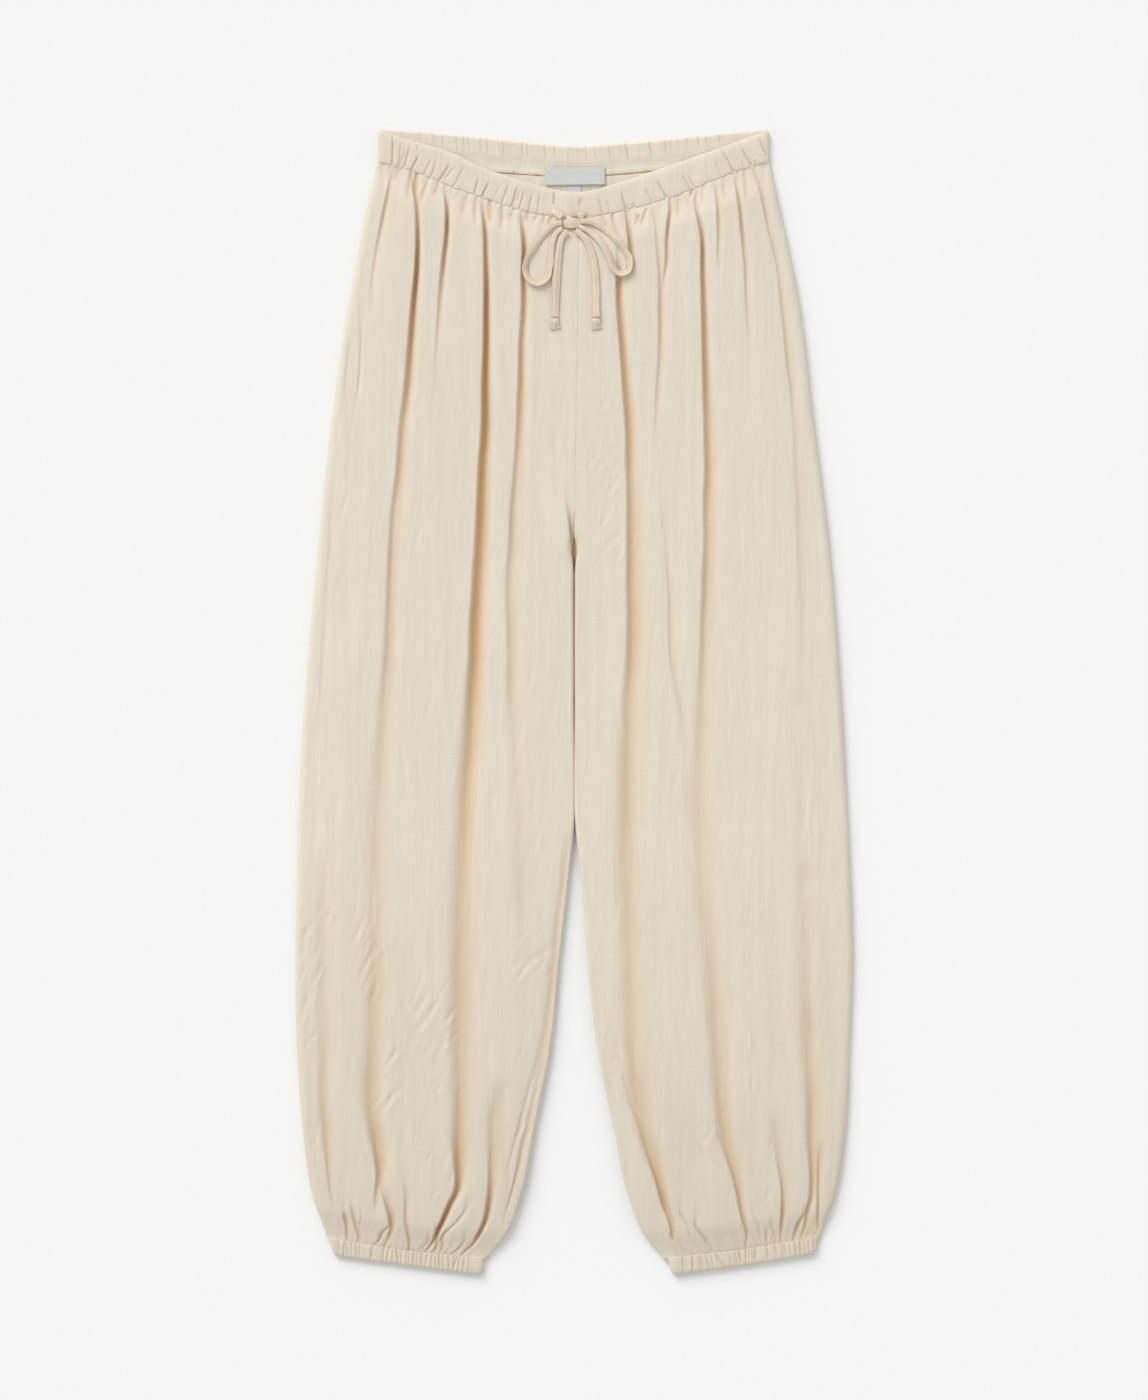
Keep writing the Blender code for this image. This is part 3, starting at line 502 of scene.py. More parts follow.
# Where else small creases lie: a patch's middle and half-size, how many it has, their length,
# their direction from the X axis in degrees, how deep and how wide they are
Crush = namedtuple("Crush", "leg x y half_x half_y count length angle depth width")
CRUSHES = (
    Crush("right", -222, -195, 12, 22, 7, 20, 62, 0.5, 1.3),
    Crush("right", -226, -262, 9, 30, 8, 22, 66, 0.5, 1.3),
    Crush("right", -168, -225, 18, 34, 9, 26, 58, 0.55, 1.5),
    Crush("right", -122, -268, 20, 38, 10, 26, 60, 0.5, 1.5),
    Crush("right", -162, -330, 10, 36, 7, 24, 64, 0.5, 1.4),
    Crush("right", -34, -222, 18, 20, 8, 20, 40, 0.55, 1.3),
    Crush("right", -118, -308, 24, 30, 8, 22, 52, 0.4, 1.3),
    Crush("right", -40, -330, 12, 40, 6, 26, 66, 0.4, 1.3),
    Crush("right", -112, -400, 14, 22, 6, 18, 62, 0.45, 1.2),
    Crush("right", -60, 20, 34, 150, 14, 30, 76, 0.3, 1.6),
    Crush("right", -120, 60, 30, 200, 14, 32, 80, 0.3, 1.6),
    Crush("right", -186, 0, 26, 200, 14, 30, 84, 0.3, 1.6),
    Crush("right", -200, 260, 8, 60, 5, 40, 98, 0.3, 1.3),
    Crush("left", 40, 165, 18, 42, 16, 17, 58, 0.55, 1.2),
    Crush("left", 32, 230, 16, 30, 7, 18, 66, 0.35, 1.2),
    Crush("left", 45, -318, 14, 22, 8, 20, 116, 0.5, 1.3),
    Crush("left", 116, -372, 12, 24, 8, 22, 118, 0.5, 1.4),
    Crush("left", 84, -300, 24, 60, 9, 28, 104, 0.35, 1.5),
    Crush("left", 158, -250, 22, 90, 12, 30, 98, 0.35, 1.6),
    Crush("left", 84, 10, 24, 150, 12, 30, 98, 0.3, 1.6),
    Crush("left", 150, 60, 30, 180, 14, 32, 96, 0.3, 1.6),
    Crush("left", 206, -120, 18, 160, 10, 36, 94, 0.3, 1.6),
    Crush("left", 172, -400, 10, 30, 5, 22, 84, 0.4, 1.3),
)

# The back's own folds, along its underside: where each starts and ends, and how strong it is
BackFold = namedtuple("BackFold", "leg top_x top_y low_x low_y strength width")
BACK_FOLDS = (
    BackFold("right", -150, 452, -163, -330, 0.5, 7),
    BackFold("right", -118, 446, -128, 210, 0.7, 4),
    BackFold("right", -88, 440, -104, -466, 0.8, 7),
    BackFold("right", -58, 436, -64, 60, 0.7, 5),
    BackFold("right", -30, 430, -44, -140, 0.5, 7),
    BackFold("right", -134, -300, -142, -468, 0.6, 4),
    BackFold("right", -70, -280, -92, -474, 0.6, 4),
    BackFold("right", -205, -90, -190, -460, 0.5, 5),
    BackFold("left", 34, 430, 46, -220, 0.7, 7),
    BackFold("left", 66, 436, 70, 190, 0.7, 4),
    BackFold("left", 96, 442, 118, -466, 0.8, 7),
    BackFold("left", 128, 448, 146, 40, 0.6, 6),
    BackFold("left", 154, 454, 192, -120, 0.4, 7),
    BackFold("left", 58, -240, 96, -472, 0.6, 4),
    BackFold("left", 172, -260, 164, -466, 0.6, 4),
    BackFold("left", 204, -200, 190, -460, 0.5, 5),
)


def column(rows, name):
    """One named column of a table."""
    return [getattr(row, name) for row in rows]


def smooth_through(stations, values, at):
    """A smooth curve through the values at the stations; it stays level beyond both ends."""
    stations = np.asarray(stations, float)
    values = np.asarray(values, float)
    if stations[0] > stations[-1]:
        stations = stations[::-1]
        values = values[::-1]
    slopes = np.gradient(values, stations)
    at = np.clip(at, stations[0], stations[-1])
    i = np.clip(np.searchsorted(stations, at) - 1, 0, len(stations) - 2)
    span = stations[i + 1] - stations[i]
    t = (at - stations[i]) / span
    start = values[i] * (1 + 2 * t) * (1 - t) ** 2 + span * slopes[i] * t * (1 - t) ** 2
    end = values[i + 1] * t**2 * (3 - 2 * t) - span * slopes[i + 1] * t**2 * (1 - t)
    return start + end


def ease(t):
    """Go from 0 to 1 with no corner at either end."""
    t = np.clip(t, 0, 1)
    return t * t * (3 - 2 * t)


def between(a, b, t):
    return a + (b - a) * t


def quarter_round(distance, radius):
    """How far up a rounded edge has come at that distance in from it, from 0 to 1."""
    return np.sqrt(1 - (1 - np.clip(distance / radius, 0, 1)) ** 2)


def hill(t):
    """A soft hill of height 1, half as high at 1 and at -1."""
    return np.exp2(-(t**2))


def crinkle(x, y, cell_x, cell_y, seed):
    """Smooth uneven ground between -1 and 1, its lumps about one cell in size."""
    lumps = np.random.default_rng(seed).uniform(-1, 1, (256, 256))
    grid_x = np.asarray(x, float) / cell_x
    grid_y = np.asarray(y, float) / cell_y
    i = np.floor(grid_x).astype(int)
    j = np.floor(grid_y).astype(int)
    u = ease(grid_x - i)
    v = ease(grid_y - j)
    low = between(lumps[i % 256, j % 256], lumps[(i + 1) % 256, j % 256], u)
    high = between(lumps[i % 256, (j + 1) % 256], lumps[(i + 1) % 256, (j + 1) % 256], u)
    return between(low, high, v)


# ---------------------------------------------------------------- outlines


def leg_edge(name):
    return lambda y: smooth_through(column(LEGS, "y"), column(LEGS, name), y)


def waist_line(name):
    return lambda x: smooth_through(column(WAIST, "x"), column(WAIST, name), x)


LOW_EDGE = {"right": leg_edge("right_side"), "left": leg_edge("left_inner")}
HIGH_EDGE = {"right": leg_edge("right_inner"), "left": leg_edge("left_side")}
CROWN = leg_edge("crown")
FRONT_TOP = waist_line("front_top")
EVEN_FRONT_SEAM = waist_line("front_seam")
BACK_TOP = waist_line("back_top")
BACK_SEAM = waist_line("back_seam")
CUFF_OF = {cuff.leg: cuff for cuff in CUFFS}


def front_seam(x):
    """The front waistband's seam, which wavers as its gathers pull on it."""
    calm = ease((HALF_WAIST - np.abs(x)) / 12)
    return EVEN_FRONT_SEAM(x) + SEAM_WAVER * calm * crinkle(x, 0 * x, 6, 9, 17)


def cuff_top(leg, x):
    cuff = CUFF_OF[leg]
    return smooth_through(cuff.x_top, cuff.top, x)


def edge_distances(leg, x, y):
    """How far in a point lies from the side seam and from the inner edge."""
    from_low = x - LOW_EDGE[leg](y)
    from_high = HIGH_EDGE[leg](y) - x
    return (from_low, from_high) if leg == "right" else (from_high, from_low)


def inseam_share(y):
    """0 where the two fronts are sewn together, 1 where each leg has its own inner edge."""
    return ease((CROTCH_Y + INSEAM_STARTS_OVER - y) / (INSEAM_FORMS_OVER + INSEAM_STARTS_OVER))


# ---------------------------------------------------------------- folds of the front


def fold_strength(fold, reach_left, reach_right, x, y):
    """How strong one fold is at each point: steep on its left near the waist and the cuffs."""
    places = [stop[0] for stop in fold.stops]
    middle = smooth_through(places, [stop[1] for stop in fold.stops], y)
    strength = np.clip(smooth_through(places, [stop[2] for stop in fold.stops], y), 0, 1)
    middle = middle + 0.7 * crinkle(y, x * 0, 34, 9, len(places) + int(abs(fold.stops[0][1])))
    beyond = np.maximum(y - max(places), min(places) - y)
    strength = strength * (1 - ease(beyond / 14))
    away = x - middle
    steep = 0.8 * np.minimum(ease((y + 60) / 130) + ease((-370 - y) / 40), 1)
    power_left = between(EASY_POWER, STEEP_POWER, steep)
    before = np.abs(away / (fold.wide * reach_left * between(1, STEEP_SIDE, steep)))
    after = np.abs(away / (fold.wide * reach_right))
    form = np.exp2(-np.where(away < 0, before**power_left, after**EASY_POWER))
    # Painted shade across the fold, with a sharper edge on its left side
    fold_shade = np.exp2(-np.where(away < 0, (before / 1.3) ** (power_left + 1), after**EASY_POWER))
    return strength * form, strength * fold_shade


def folds_at(leg, x, y):
    """All folds of a leg together: how deep, and how much painted shade they get, each from 0 on the flat to
    1.
    """
    flat = np.ones(np.shape(x))
    unshaded = np.ones(np.shape(x))
    reach_left = smooth_through(column(REACHES, "y"), column(REACHES, "left"), y)
    reach_right = smooth_through(column(REACHES, "y"), column(REACHES, "right"), y)
    for fold in FOLDS[leg]:
        form, fold_shade = fold_strength(fold, reach_left, reach_right, x, y)
        flat = flat * (1 - form)
        unshaded = unshaded * (1 - fold_shade)
    return 1 - flat, 1 - unshaded


def gather_line(gather, away):
    """Where a gather runs, at that distance from its seam."""
    along = (away - gather.start) / gather.length
    bend = 0.35 * crinkle(away, 0 * away, 6, 9, int(abs(gather.x) * 7) % 97)
    return gather.x + gather.lean * np.clip(along, 0, 1) + bend, along


def gathered(gathers, x, away, wide):
    """How deep a row of small gathers is at each point, in mm."""
    depth = np.zeros(np.broadcast(x, away).shape)
    for gather in gathers:
        middle, along = gather_line(gather, away)
        shown = ease((away - gather.start) / 1.6 + 0.9) * ease((1.05 - along) / 0.45)
        depth += gather.deep * shown * hill((x - middle) / wide)
    return depth


def wrinkled(leg, x, y):
    """The single wrinkles of a leg, in mm of depth: each a trough beside a soft ridge."""
    depth = np.zeros(np.shape(x))
    for wrinkle in WRINKLES[leg]:
        run_x = wrinkle.to_x - wrinkle.x
        run_y = wrinkle.to_y - wrinkle.y
        length = math.hypot(run_x, run_y)
        along = ((x - wrinkle.x) * run_x + (y - wrinkle.y) * run_y) / length**2
        across = ((x - wrinkle.x) * run_y - (y - wrinkle.y) * run_x) / length
        across = across + 0.07 * length * (along - 0.5) ** 2
        shown = ease((along + 0.12) / 0.35) * ease((1.12 - along) / 0.35)
        trough = hill(across / WRINKLE_WIDE) - RIDGE_HIGH * hill((across + RIDGE_AWAY) / RIDGE_WIDE)
        depth += WRINKLE_STRENGTH * wrinkle.deep * shown * trough
    return depth


def crushed(leg, x, y):
    """Small creases that the cloth keeps from having been folded up, in mm of depth."""
    depth = np.zeros(np.shape(x))
    for number, patch in enumerate(CRUSHES):
        if patch.leg != leg:
            continue
        rng = np.random.default_rng(900 + number)
        near = (np.abs(x - patch.x) < patch.half_x + 40) & (np.abs(y - patch.y) < patch.half_y + 60)
        px = x[near]
        py = y[near]
        sunk = np.zeros(len(px))
        for _ in range(patch.count):
            cx = patch.x + patch.half_x * rng.uniform(-1, 1)
            cy = patch.y + patch.half_y * rng.uniform(-1, 1)
            turn = math.radians(patch.angle + rng.uniform(-14, 14))
            half = patch.length * rng.uniform(0.3, 0.8)
            bend = rng.uniform(-1, 1) * 0.12
            deep = patch.depth * rng.uniform(0.4, 1)
            wide = patch.width * rng.uniform(0.7, 1.4)
            along = (px - cx) * math.cos(turn) + (py - cy) * math.sin(turn)
            across = (py - cy) * math.cos(turn) - (px - cx) * math.sin(turn)
            across = across - bend * along**2 / half
            fades = 1 - ease(np.abs(along) / half)
            sunk += deep * fades * (hill(across / wide) - 0.6 * hill((across + 2.1 * wide) / wide))
        depth[near] += sunk
    return depth


def gather_places(first, last, count, seed, jitter=0.32):
    """Uneven places for gathers along a seam."""
    rng = np.random.default_rng(seed)
    pitch = (last - first) / count
    return first + pitch * (np.arange(count) + 0.5 + jitter * rng.uniform(-1, 1, count))


WAIST_GATHERS = gather_places(-166, 166, 62, 11)
CUFF_GATHER_SHARES = gather_places(0.1, 0.97, 25, 12)


def waist_lean(x):
    """How far sideways a gather leans for each mm up the front waistband."""
    slope = (front_seam(x + 2) - front_seam(x - 2)) / 4
    return -slope * 0.85 * ease((HALF_WAIST - np.abs(x)) / 26)


def waist_gathers(x, down):
    """Small gathers that fall from the waistband's seam, in mm of depth."""
    rng = np.random.default_rng(21)
    depth = np.zeros(np.shape(x))
    for place in WAIST_GATHERS:
        reach = rng.uniform(4, 22)
        deep = rng.uniform(0.35, 1.15)
        drift = rng.uniform(-0.12, 0.12) - 0.5 * float(waist_lean(place))
        wide = rng.uniform(0.8, 1.3)
        across = x - place - drift * GATHER_DRIFT_OVER * (1 - np.exp(-down / GATHER_DRIFT_OVER))
        width = wide * (1 + down / 14)
        depth += deep * np.exp(-down / reach) * hill(across / width)
    return depth


def cuff_gathers(leg, share, up):
    """Small gathers that rise from a cuff's seam, in mm of depth."""
    rng = np.random.default_rng(31 if leg == "right" else 32)
    depth = np.zeros(np.shape(share))
    for place in CUFF_GATHER_SHARES:
        reach = rng.uniform(3, 11)
        deep = rng.uniform(0.4, 1.3)
        lean = rng.uniform(-0.006, 0.006)
        wide = rng.uniform(0.0055, 0.009)
        where = place if leg == "left" else 1 - place
        across = share - where - lean * np.minimum(up, 12) / 4
        depth += deep * np.exp(-up / reach) * hill(across / (wide * (1 + up / 16)))
    return depth


def leg_surface(leg, x, y):
    """The front's outer face, in mm above what the trousers lie on, and how much painted shade it gets."""
    low = LOW_EDGE[leg](y)
    high = HIGH_EDGE[leg](y)
    share = (x - low) / (high - low)
    from_side, from_inner = edge_distances(leg, x, y)
    down = np.maximum(front_seam(x) - y, 0)
    up = np.maximum(y - cuff_top(leg, x), 0)
    puffed = np.minimum(ease(down / WAIST_PUFF), ease(up / CUFF_PUFF))
    flat = between(EDGE_LEVEL, CROWN(y), puffed)
    flat = flat + 0.5 * puffed * crinkle(x, y, 30, 150, 5)
    folded, shade_paint = folds_at(leg, x, y)
    floor = between(EDGE_LEVEL - EDGE_FLOOR_DROP, LOWEST_FRONT, ease(np.minimum(down, up) / FLOOR_REACH))
    flat = flat * between(EDGE_SAG, 1, ease(from_side / EDGE_SAG_REACH))
    own_inner = ease((CROTCH_Y + INSEAM_STARTS_OVER - y) / INNER_SAG_OVER)
    flat = flat * between(1, between(EDGE_SAG, 1, ease(from_inner / EDGE_SAG_REACH)), own_inner)
    height = flat - (flat - floor) * folded**1.1
    calm = 1 - 0.6 * folded
    height = height - calm * (CRUSH_STRENGTH * crushed(leg, x, y) + wrinkled(leg, x, y))
    small = waist_gathers(x, down) + cuff_gathers(leg, share, up)
    pleats = gathered(PLEATS[leg], x, down, PLEAT_WIDE * (1 + down / PLEAT_WIDENS_OVER))
    height = height - small - PLEAT_DEPTH * pleats
    height = height + calm * 0.16 * crinkle(x + 0.25 * y, y, 5, 26, 6)
    height = height + calm * 0.1 * crinkle(x - 0.1 * y, y, 2.6, 17, 7)
    tucked = np.minimum(front_seam(x) - y, y - cuff_top(leg, x))
    height = between(TUCKED_LEVEL, height, ease((tucked + TUCK) / (TUCK + UNFOLDED)))
    seam = between(BAND_SEAM_Z, SIDE_SEAM_Z, puffed) + 0.1 + CLOTH
    sides = quarter_round(from_side, FOLDED_EDGE)
    inner = between(1, quarter_round(from_inner, INNER_EDGE), inseam_share(y))
    groove = between(CENTRE_SEAM_LOW, CENTRE_SEAM_HIGH, ease((y - CENTRE_SEAM_SHOWS_Y) / 30))
    centre = groove * hill(from_inner / CENTRE_SEAM_WIDE) * (1 - inseam_share(y))
    height = seam + (height - seam) * sides * inner - centre
    dip = SLIT_DIP * hill(from_inner / SLIT_DIP_REACH) * slit_form(y - 2)
    height = between(height, np.minimum(height, SLIT_EDGE_LEVEL), dip)
    height = np.maximum(height, back_underside(leg, x, y) + 2 * CLOTH + 0.2)
    # Painted shade along the inseam below the crotch, and where the slit's edges turn down
    by_seam = hill(from_inner / 1.6) * ease((150 - y) / 20) * ease((y + 90) / 50)
    # Painted shade: a little darker and warmer towards the cuffs
    cuffward_shade = 0.05 * ease(-y / 400)
    # Painted shade in the pleats and small gathers, on top of that in the folds
    pulled = np.clip(pleats + 0.5 * small, 0, 1.6)
    shade_paint = 1 - (1 - shade_paint) * (1 - 0.42 * pulled) * (1 - cuffward_shade) * (1 - 0.5 * by_seam) * (1 - 0.6 * dip)
    return height, shade_paint


# ---------------------------------------------------------------- the back


def back_underside(leg, x, y):
    """The back's outer face where it lies: on z = 0, turned up at its sides to meet the front."""
    from_side, from_inner = edge_distances(leg, x, y)
    down = np.maximum(BACK_SEAM(x) - y, 0)
    up = np.maximum(y - cuff_top(leg, x), 0)
    puffed = np.minimum(ease(down / WAIST_PUFF), ease(up / CUFF_PUFF))
    seam = between(BAND_SEAM_Z, SIDE_SEAM_Z, puffed) - 0.1 - CLOTH
    inner = between(1, quarter_round(from_inner, INNER_EDGE), inseam_share(y))
    return seam * (1 - quarter_round(from_side, INNER_EDGE) * inner)


def back_folds(leg, x, y):
    """How strongly the underside is folded up off what it lies on."""
    flat = np.ones(np.shape(x))
    for fold in BACK_FOLDS:
        if fold.leg != leg:
            continue
        along = (fold.top_y - y) / (fold.top_y - fold.low_y)
        middle = between(fold.top_x, fold.low_x, along) + 2.2 * crinkle(y, x * 0, 60, 9, 40)
        ends = ease((along + 0.04) / 0.12) * ease((1.04 - along) / 0.3)
        away = (middle - x) / np.where(middle < x, 1.5 * fold.width, 0.6 * fold.width)
        flat = flat * (1 - fold.strength * ends * hill(away))
    return 1 - flat


# ---------------------------------------------------------------- meshes


def crowded(count, crowding):
    """Shares from 0 to 1, closer together at both ends."""
    even = np.linspace(0, 1, count)
    return even - crowding * np.sin(2 * math.pi * even) / (2 * math.pi)


def mesh_object(name, points, faces, painted_shade=None, rim=0):
    """A smooth mesh from points in mm, with how much painted shade each point gets; its last faces are a flat
    rim.
    """
    mesh = bpy.data.meshes.new(name)
    mesh.from_pydata((np.asarray(points) * MM).tolist(), [], faces)
    mesh.polygons.foreach_set("use_smooth", [True] * (len(faces) - rim) + [False] * rim)
    if painted_shade is not None:
        mesh.attributes.new("painted_shade", "FLOAT", "POINT").data.foreach_set("value", painted_shade)
    mesh.update()
    made = bpy.data.objects.new(name, mesh)
    bpy.context.collection.objects.link(made)
    return made


def grid_faces(numbers, upwards):
    """Four-sided faces over a grid of point numbers."""
    a = numbers[:-1, :-1].ravel()
    b = numbers[1:, :-1].ravel()
    c = numbers[1:, 1:].ravel()
    d = numbers[:-1, 1:].ravel()
    order = (a, b, c, d) if upwards else (d, c, b, a)
    return np.stack(order, axis=1).tolist()


def rim_faces(upper, lower, step):
    """Faces round the rim, from the lower grid's points to the upper grid's, which has more."""
    faces = []
    for over, under in (
        (upper[:, 0], lower[:, 0]),
        (upper[-1, :], lower[-1, :]),
        (upper[::-1, -1], lower[::-1, -1]),
        (upper[0, ::-1], lower[0, ::-1]),
    ):
        for k in range(len(under) - 1):
            above = over[k * step : (k + 1) * step + 1][::-1]
            faces.append([int(under[k]), int(under[k + 1]), *(int(v) for v in above)])
    return faces


def cloth_shell(name, x, y, upper, lower, painted_shade, step=1):
    """A closed shell of cloth between two faces; the lower one may have fewer points."""
    columns, rows = x.shape
    over = np.arange(columns * rows).reshape(columns, rows)
    thin_x = x[::step, ::step]
    under = np.arange(thin_x.size).reshape(thin_x.shape) + over.size
    points = np.concatenate(
        [
            np.stack([x, y, upper], axis=-1).reshape(-1, 3),
            np.stack([thin_x, y[::step, ::step], lower[::step, ::step]], axis=-1).reshape(-1, 3),
        ]
    )
    rim = rim_faces(over, under, step)
    faces = grid_faces(over, True) + grid_faces(under, False) + rim
    shade_paint = np.concatenate([painted_shade.ravel(), np.zeros(under.size)])
    return mesh_object(name, points, faces, shade_paint, len(rim))


def lowest_near(height):
    """The lowest of each point and its neighbours."""
    padded = np.pad(height, 1, mode="edge")
    columns, rows = height.shape
    near = [padded[i : i + columns, j : j + rows] for i in range(3) for j in range(3)]
    return np.min(near, axis=0)


def drawn_to_folds(leg, even, share, y):
    """Move each row's points along it, so that they lie closer together on folds and gathers."""
    fine = np.linspace(0, 1, 700)
    moved = share + 0 * y
    for row in range(y.shape[1]):
        level = np.interp(fine, share[:, row], y[:, row])
        x = between(LOW_EDGE[leg](level), HIGH_EDGE[leg](level), fine)
        form, _ = folds_at(leg, x, level)
        form = form + 0.25 * gathered(PLEATS[leg], x, np.maximum(front_seam(x) - level, 0), PLEAT_WIDE)
        slope = np.abs(np.gradient(form, x))
        density = 0.45 + np.minimum(9 * slope, 1.8) + 0.9 * (hill(fine / 0.02) + hill((1 - fine) / 0.02))
        density = np.convolve(np.pad(density, 12, mode="edge"), np.ones(25) / 25, mode="valid")
        filled = np.concatenate([[0], np.cumsum((density[1:] + density[:-1]) / 2)])
        moved[:, row] = np.interp(even, filled / filled[-1], fine)
    kernel = np.hanning(17) / np.hanning(17).sum()
    padded = np.pad(moved, ((0, 0), (8, 8)), mode="edge")
    return np.stack([np.convolve(line, kernel, mode="valid") for line in padded])


def seam_at_share(leg, seam):
    """How high a seam lies, for a share of the leg's width from its low edge to its high one."""
    fine = np.linspace(0, 1, 700)
    y = np.full(700, float(np.mean(seam(np.linspace(LOW_EDGE[leg](0), HIGH_EDGE[leg](0), 9)))))
    for _ in range(20):
        y = seam(between(LOW_EDGE[leg](y), HIGH_EDGE[leg](y), fine))
    return lambda share: np.interp(share, fine, y)


def leg_grid(leg, columns, rows, top_seam, tuck, slit):
    """Columns of points up a leg, from the cuff's seam to the waistband's."""
    across = crowded(columns, 0.3)
    up = crowded(rows, 0.42)[None, :]
    top = seam_at_share(leg, top_seam)
    low = seam_at_share(leg, lambda x: cuff_top(leg, x))
    share = across[:, None] + 0 * up
    for _ in range(2 if slit else 0):
        y = between(low(share) - tuck, top(share) + tuck, up)
        share = drawn_to_folds(leg, np.linspace(0, 1, columns), share, y)
    y = between(low(share) - tuck, top(share) + tuck, up)
    gap = 0.5 * (0.04 + LEG_GAP * inseam_share(y)) + slit * slit_form(y)
    toward_inner = share if leg == "right" else share - 1
    return between(LOW_EDGE[leg](y), HIGH_EDGE[leg](y), share) - gap * toward_inner, y


def slit_form(y):
    """The slit just under the crotch: it opens at once and closes slowly."""
    return ease((SLIT_TOP_Y - y) / (SLIT_TOP_Y - SLIT_Y)) * (1 - ease((SLIT_Y - y) / SLIT_CLOSES_OVER))


def front_panel(leg):
    x, y = leg_grid(leg, FRONT_COLUMNS, FRONT_ROWS, front_seam, TUCK, SLIT)
    # The second value is the painted shade, not a fold's depth
    height, folded = leg_surface(leg, x, y)
    inside = lowest_near(height) - CLOTH
    for edge in (np.s_[0, :], np.s_[-1, :], np.s_[:, 0], np.s_[:, -1]):
        inside[edge] = height[edge] - CLOTH
    return cloth_shell("front_" + leg, x, y, height, inside, folded, step=2)


def back_panel(leg):
    x, y = leg_grid(leg, BACK_COLUMNS, BACK_ROWS, BACK_SEAM, -SEAM_GAP, 0)
    under = back_underside(leg, x, y)
    folded = back_folds(leg, x, y)
    front, _ = leg_surface(leg, x, y)
    down = np.maximum(BACK_SEAM(x) - y, 0)
    up = np.maximum(y - cuff_top(leg, x), 0)
    roof = np.where(y > front_seam(x), 3.0, front - CLOTH - 0.3)
    raised = np.minimum(2.6 * folded, np.maximum(roof - CLOTH - under, 0))
    raised = raised * ease(np.minimum(down, up) / 20)
    raised = raised + 0.22 * (1 + crinkle(x + 0.2 * y, y, 6, 30, 8)) * ease(np.minimum(down, up) / 3)
    share = (x - LOW_EDGE[leg](y)) / (HIGH_EDGE[leg](y) - LOW_EDGE[leg](y))
    raised = raised + 0.8 * np.minimum(waist_gathers(x + 3, down) + cuff_gathers(leg, share, up), 1)
    shows = ease((y - front_seam(x) - 2) / 8)
    by_slit = hill((x - 1) / 5) * ease((y - CROTCH_Y + 60) / 50) * (1 - ease((y - CROTCH_Y - 6) / 20))
    raised = raised + 2.0 * shows + 3.4 * by_slit
    under = under + np.maximum(raised, 0)
    inside = np.minimum(under + CLOTH, np.maximum(roof, under + 0.3))
    # Painted shade: in the back's own folds, darker and browner inside the slit, and along the overlocked
    # seam
    shade_paint = np.maximum(folded, 1.1 * by_slit) + overlock(x, BACK_SEAM(x) - y)
    return cloth_shell("back_" + leg, x, y, inside, under, shade_paint)


def band_top(line, x):
    """A waistband's top edge, with its two corners rounded."""
    return line(x) - BAND_CORNER * (1 - quarter_round(BAND_END - np.abs(x), BAND_CORNER))


def overlock(x, away):
    """The overlocked edge over the waist seam on the inside, where it shows beside the label: where its
    groove and its brown painted shade lie.
    """
    shown = ease((OVERLOCK_TO_X - np.abs(x)) / 8) * ease((np.abs(x) - OVERLOCK_FROM_X) / 4)
    nicks = 0.75 + 0.25 * crinkle(x, 0 * x, 2.5, 9, 24)
    return shown * hill((away - 0.2) / OVERLOCK_WIDE) * nicks


def front_waistband():
    x = np.linspace(-BAND_HALF, BAND_HALF, BAND_COLUMNS)[:, None]
    t = crowded(BAND_ROWS, 0.35)[None, :]
    x = x + 0 * t
    top = band_top(FRONT_TOP, x)
    y = between(front_seam(x), top, t)
    from_top = top - y
    from_seam = y - front_seam(x)
    creases = gathered(FRONT_BAND_GATHERS, x, from_seam, GATHER_WIDE)
    swelled = quarter_round(from_seam + 0.05, 4.5) * quarter_round(from_top + 0.05, 14)
    height = BAND_LEVEL + BAND_PUFF * swelled
    height = height + 0.3 * crinkle(x, y, 8, 16, 14) + 0.12 * crinkle(x + 0.2 * y, y, 2.6, 9, 15)
    height = height - BAND_GATHER_DEPTH * creases - 0.1 * hill((from_seam - 2.6) / 0.6)
    edge = quarter_round(from_top + 0.02, BAND_EDGE_ROUND)
    ends = quarter_round(BAND_END - np.abs(x), BAND_END_ROUND)
    height = BAND_EDGE_LEVEL + (height - BAND_EDGE_LEVEL) * edge
    height = BAND_SEAM_Z + 0.9 + (height - BAND_SEAM_Z - 0.9) * ends
    inside = np.minimum(lowest_near(height) - BAND_WALL, BAND_EDGE_LEVEL)
    inside = np.maximum(inside, between(BAND_SEAM_Z + 0.1, 3.5, ends))
    height = np.maximum(height, inside + THINNEST)
    # A slight even tint, and painted shade in the band's small gathers
    return cloth_shell("waistband_front_casing", x, y, height, inside, 0.06 + 0.55 * creases, step=2)


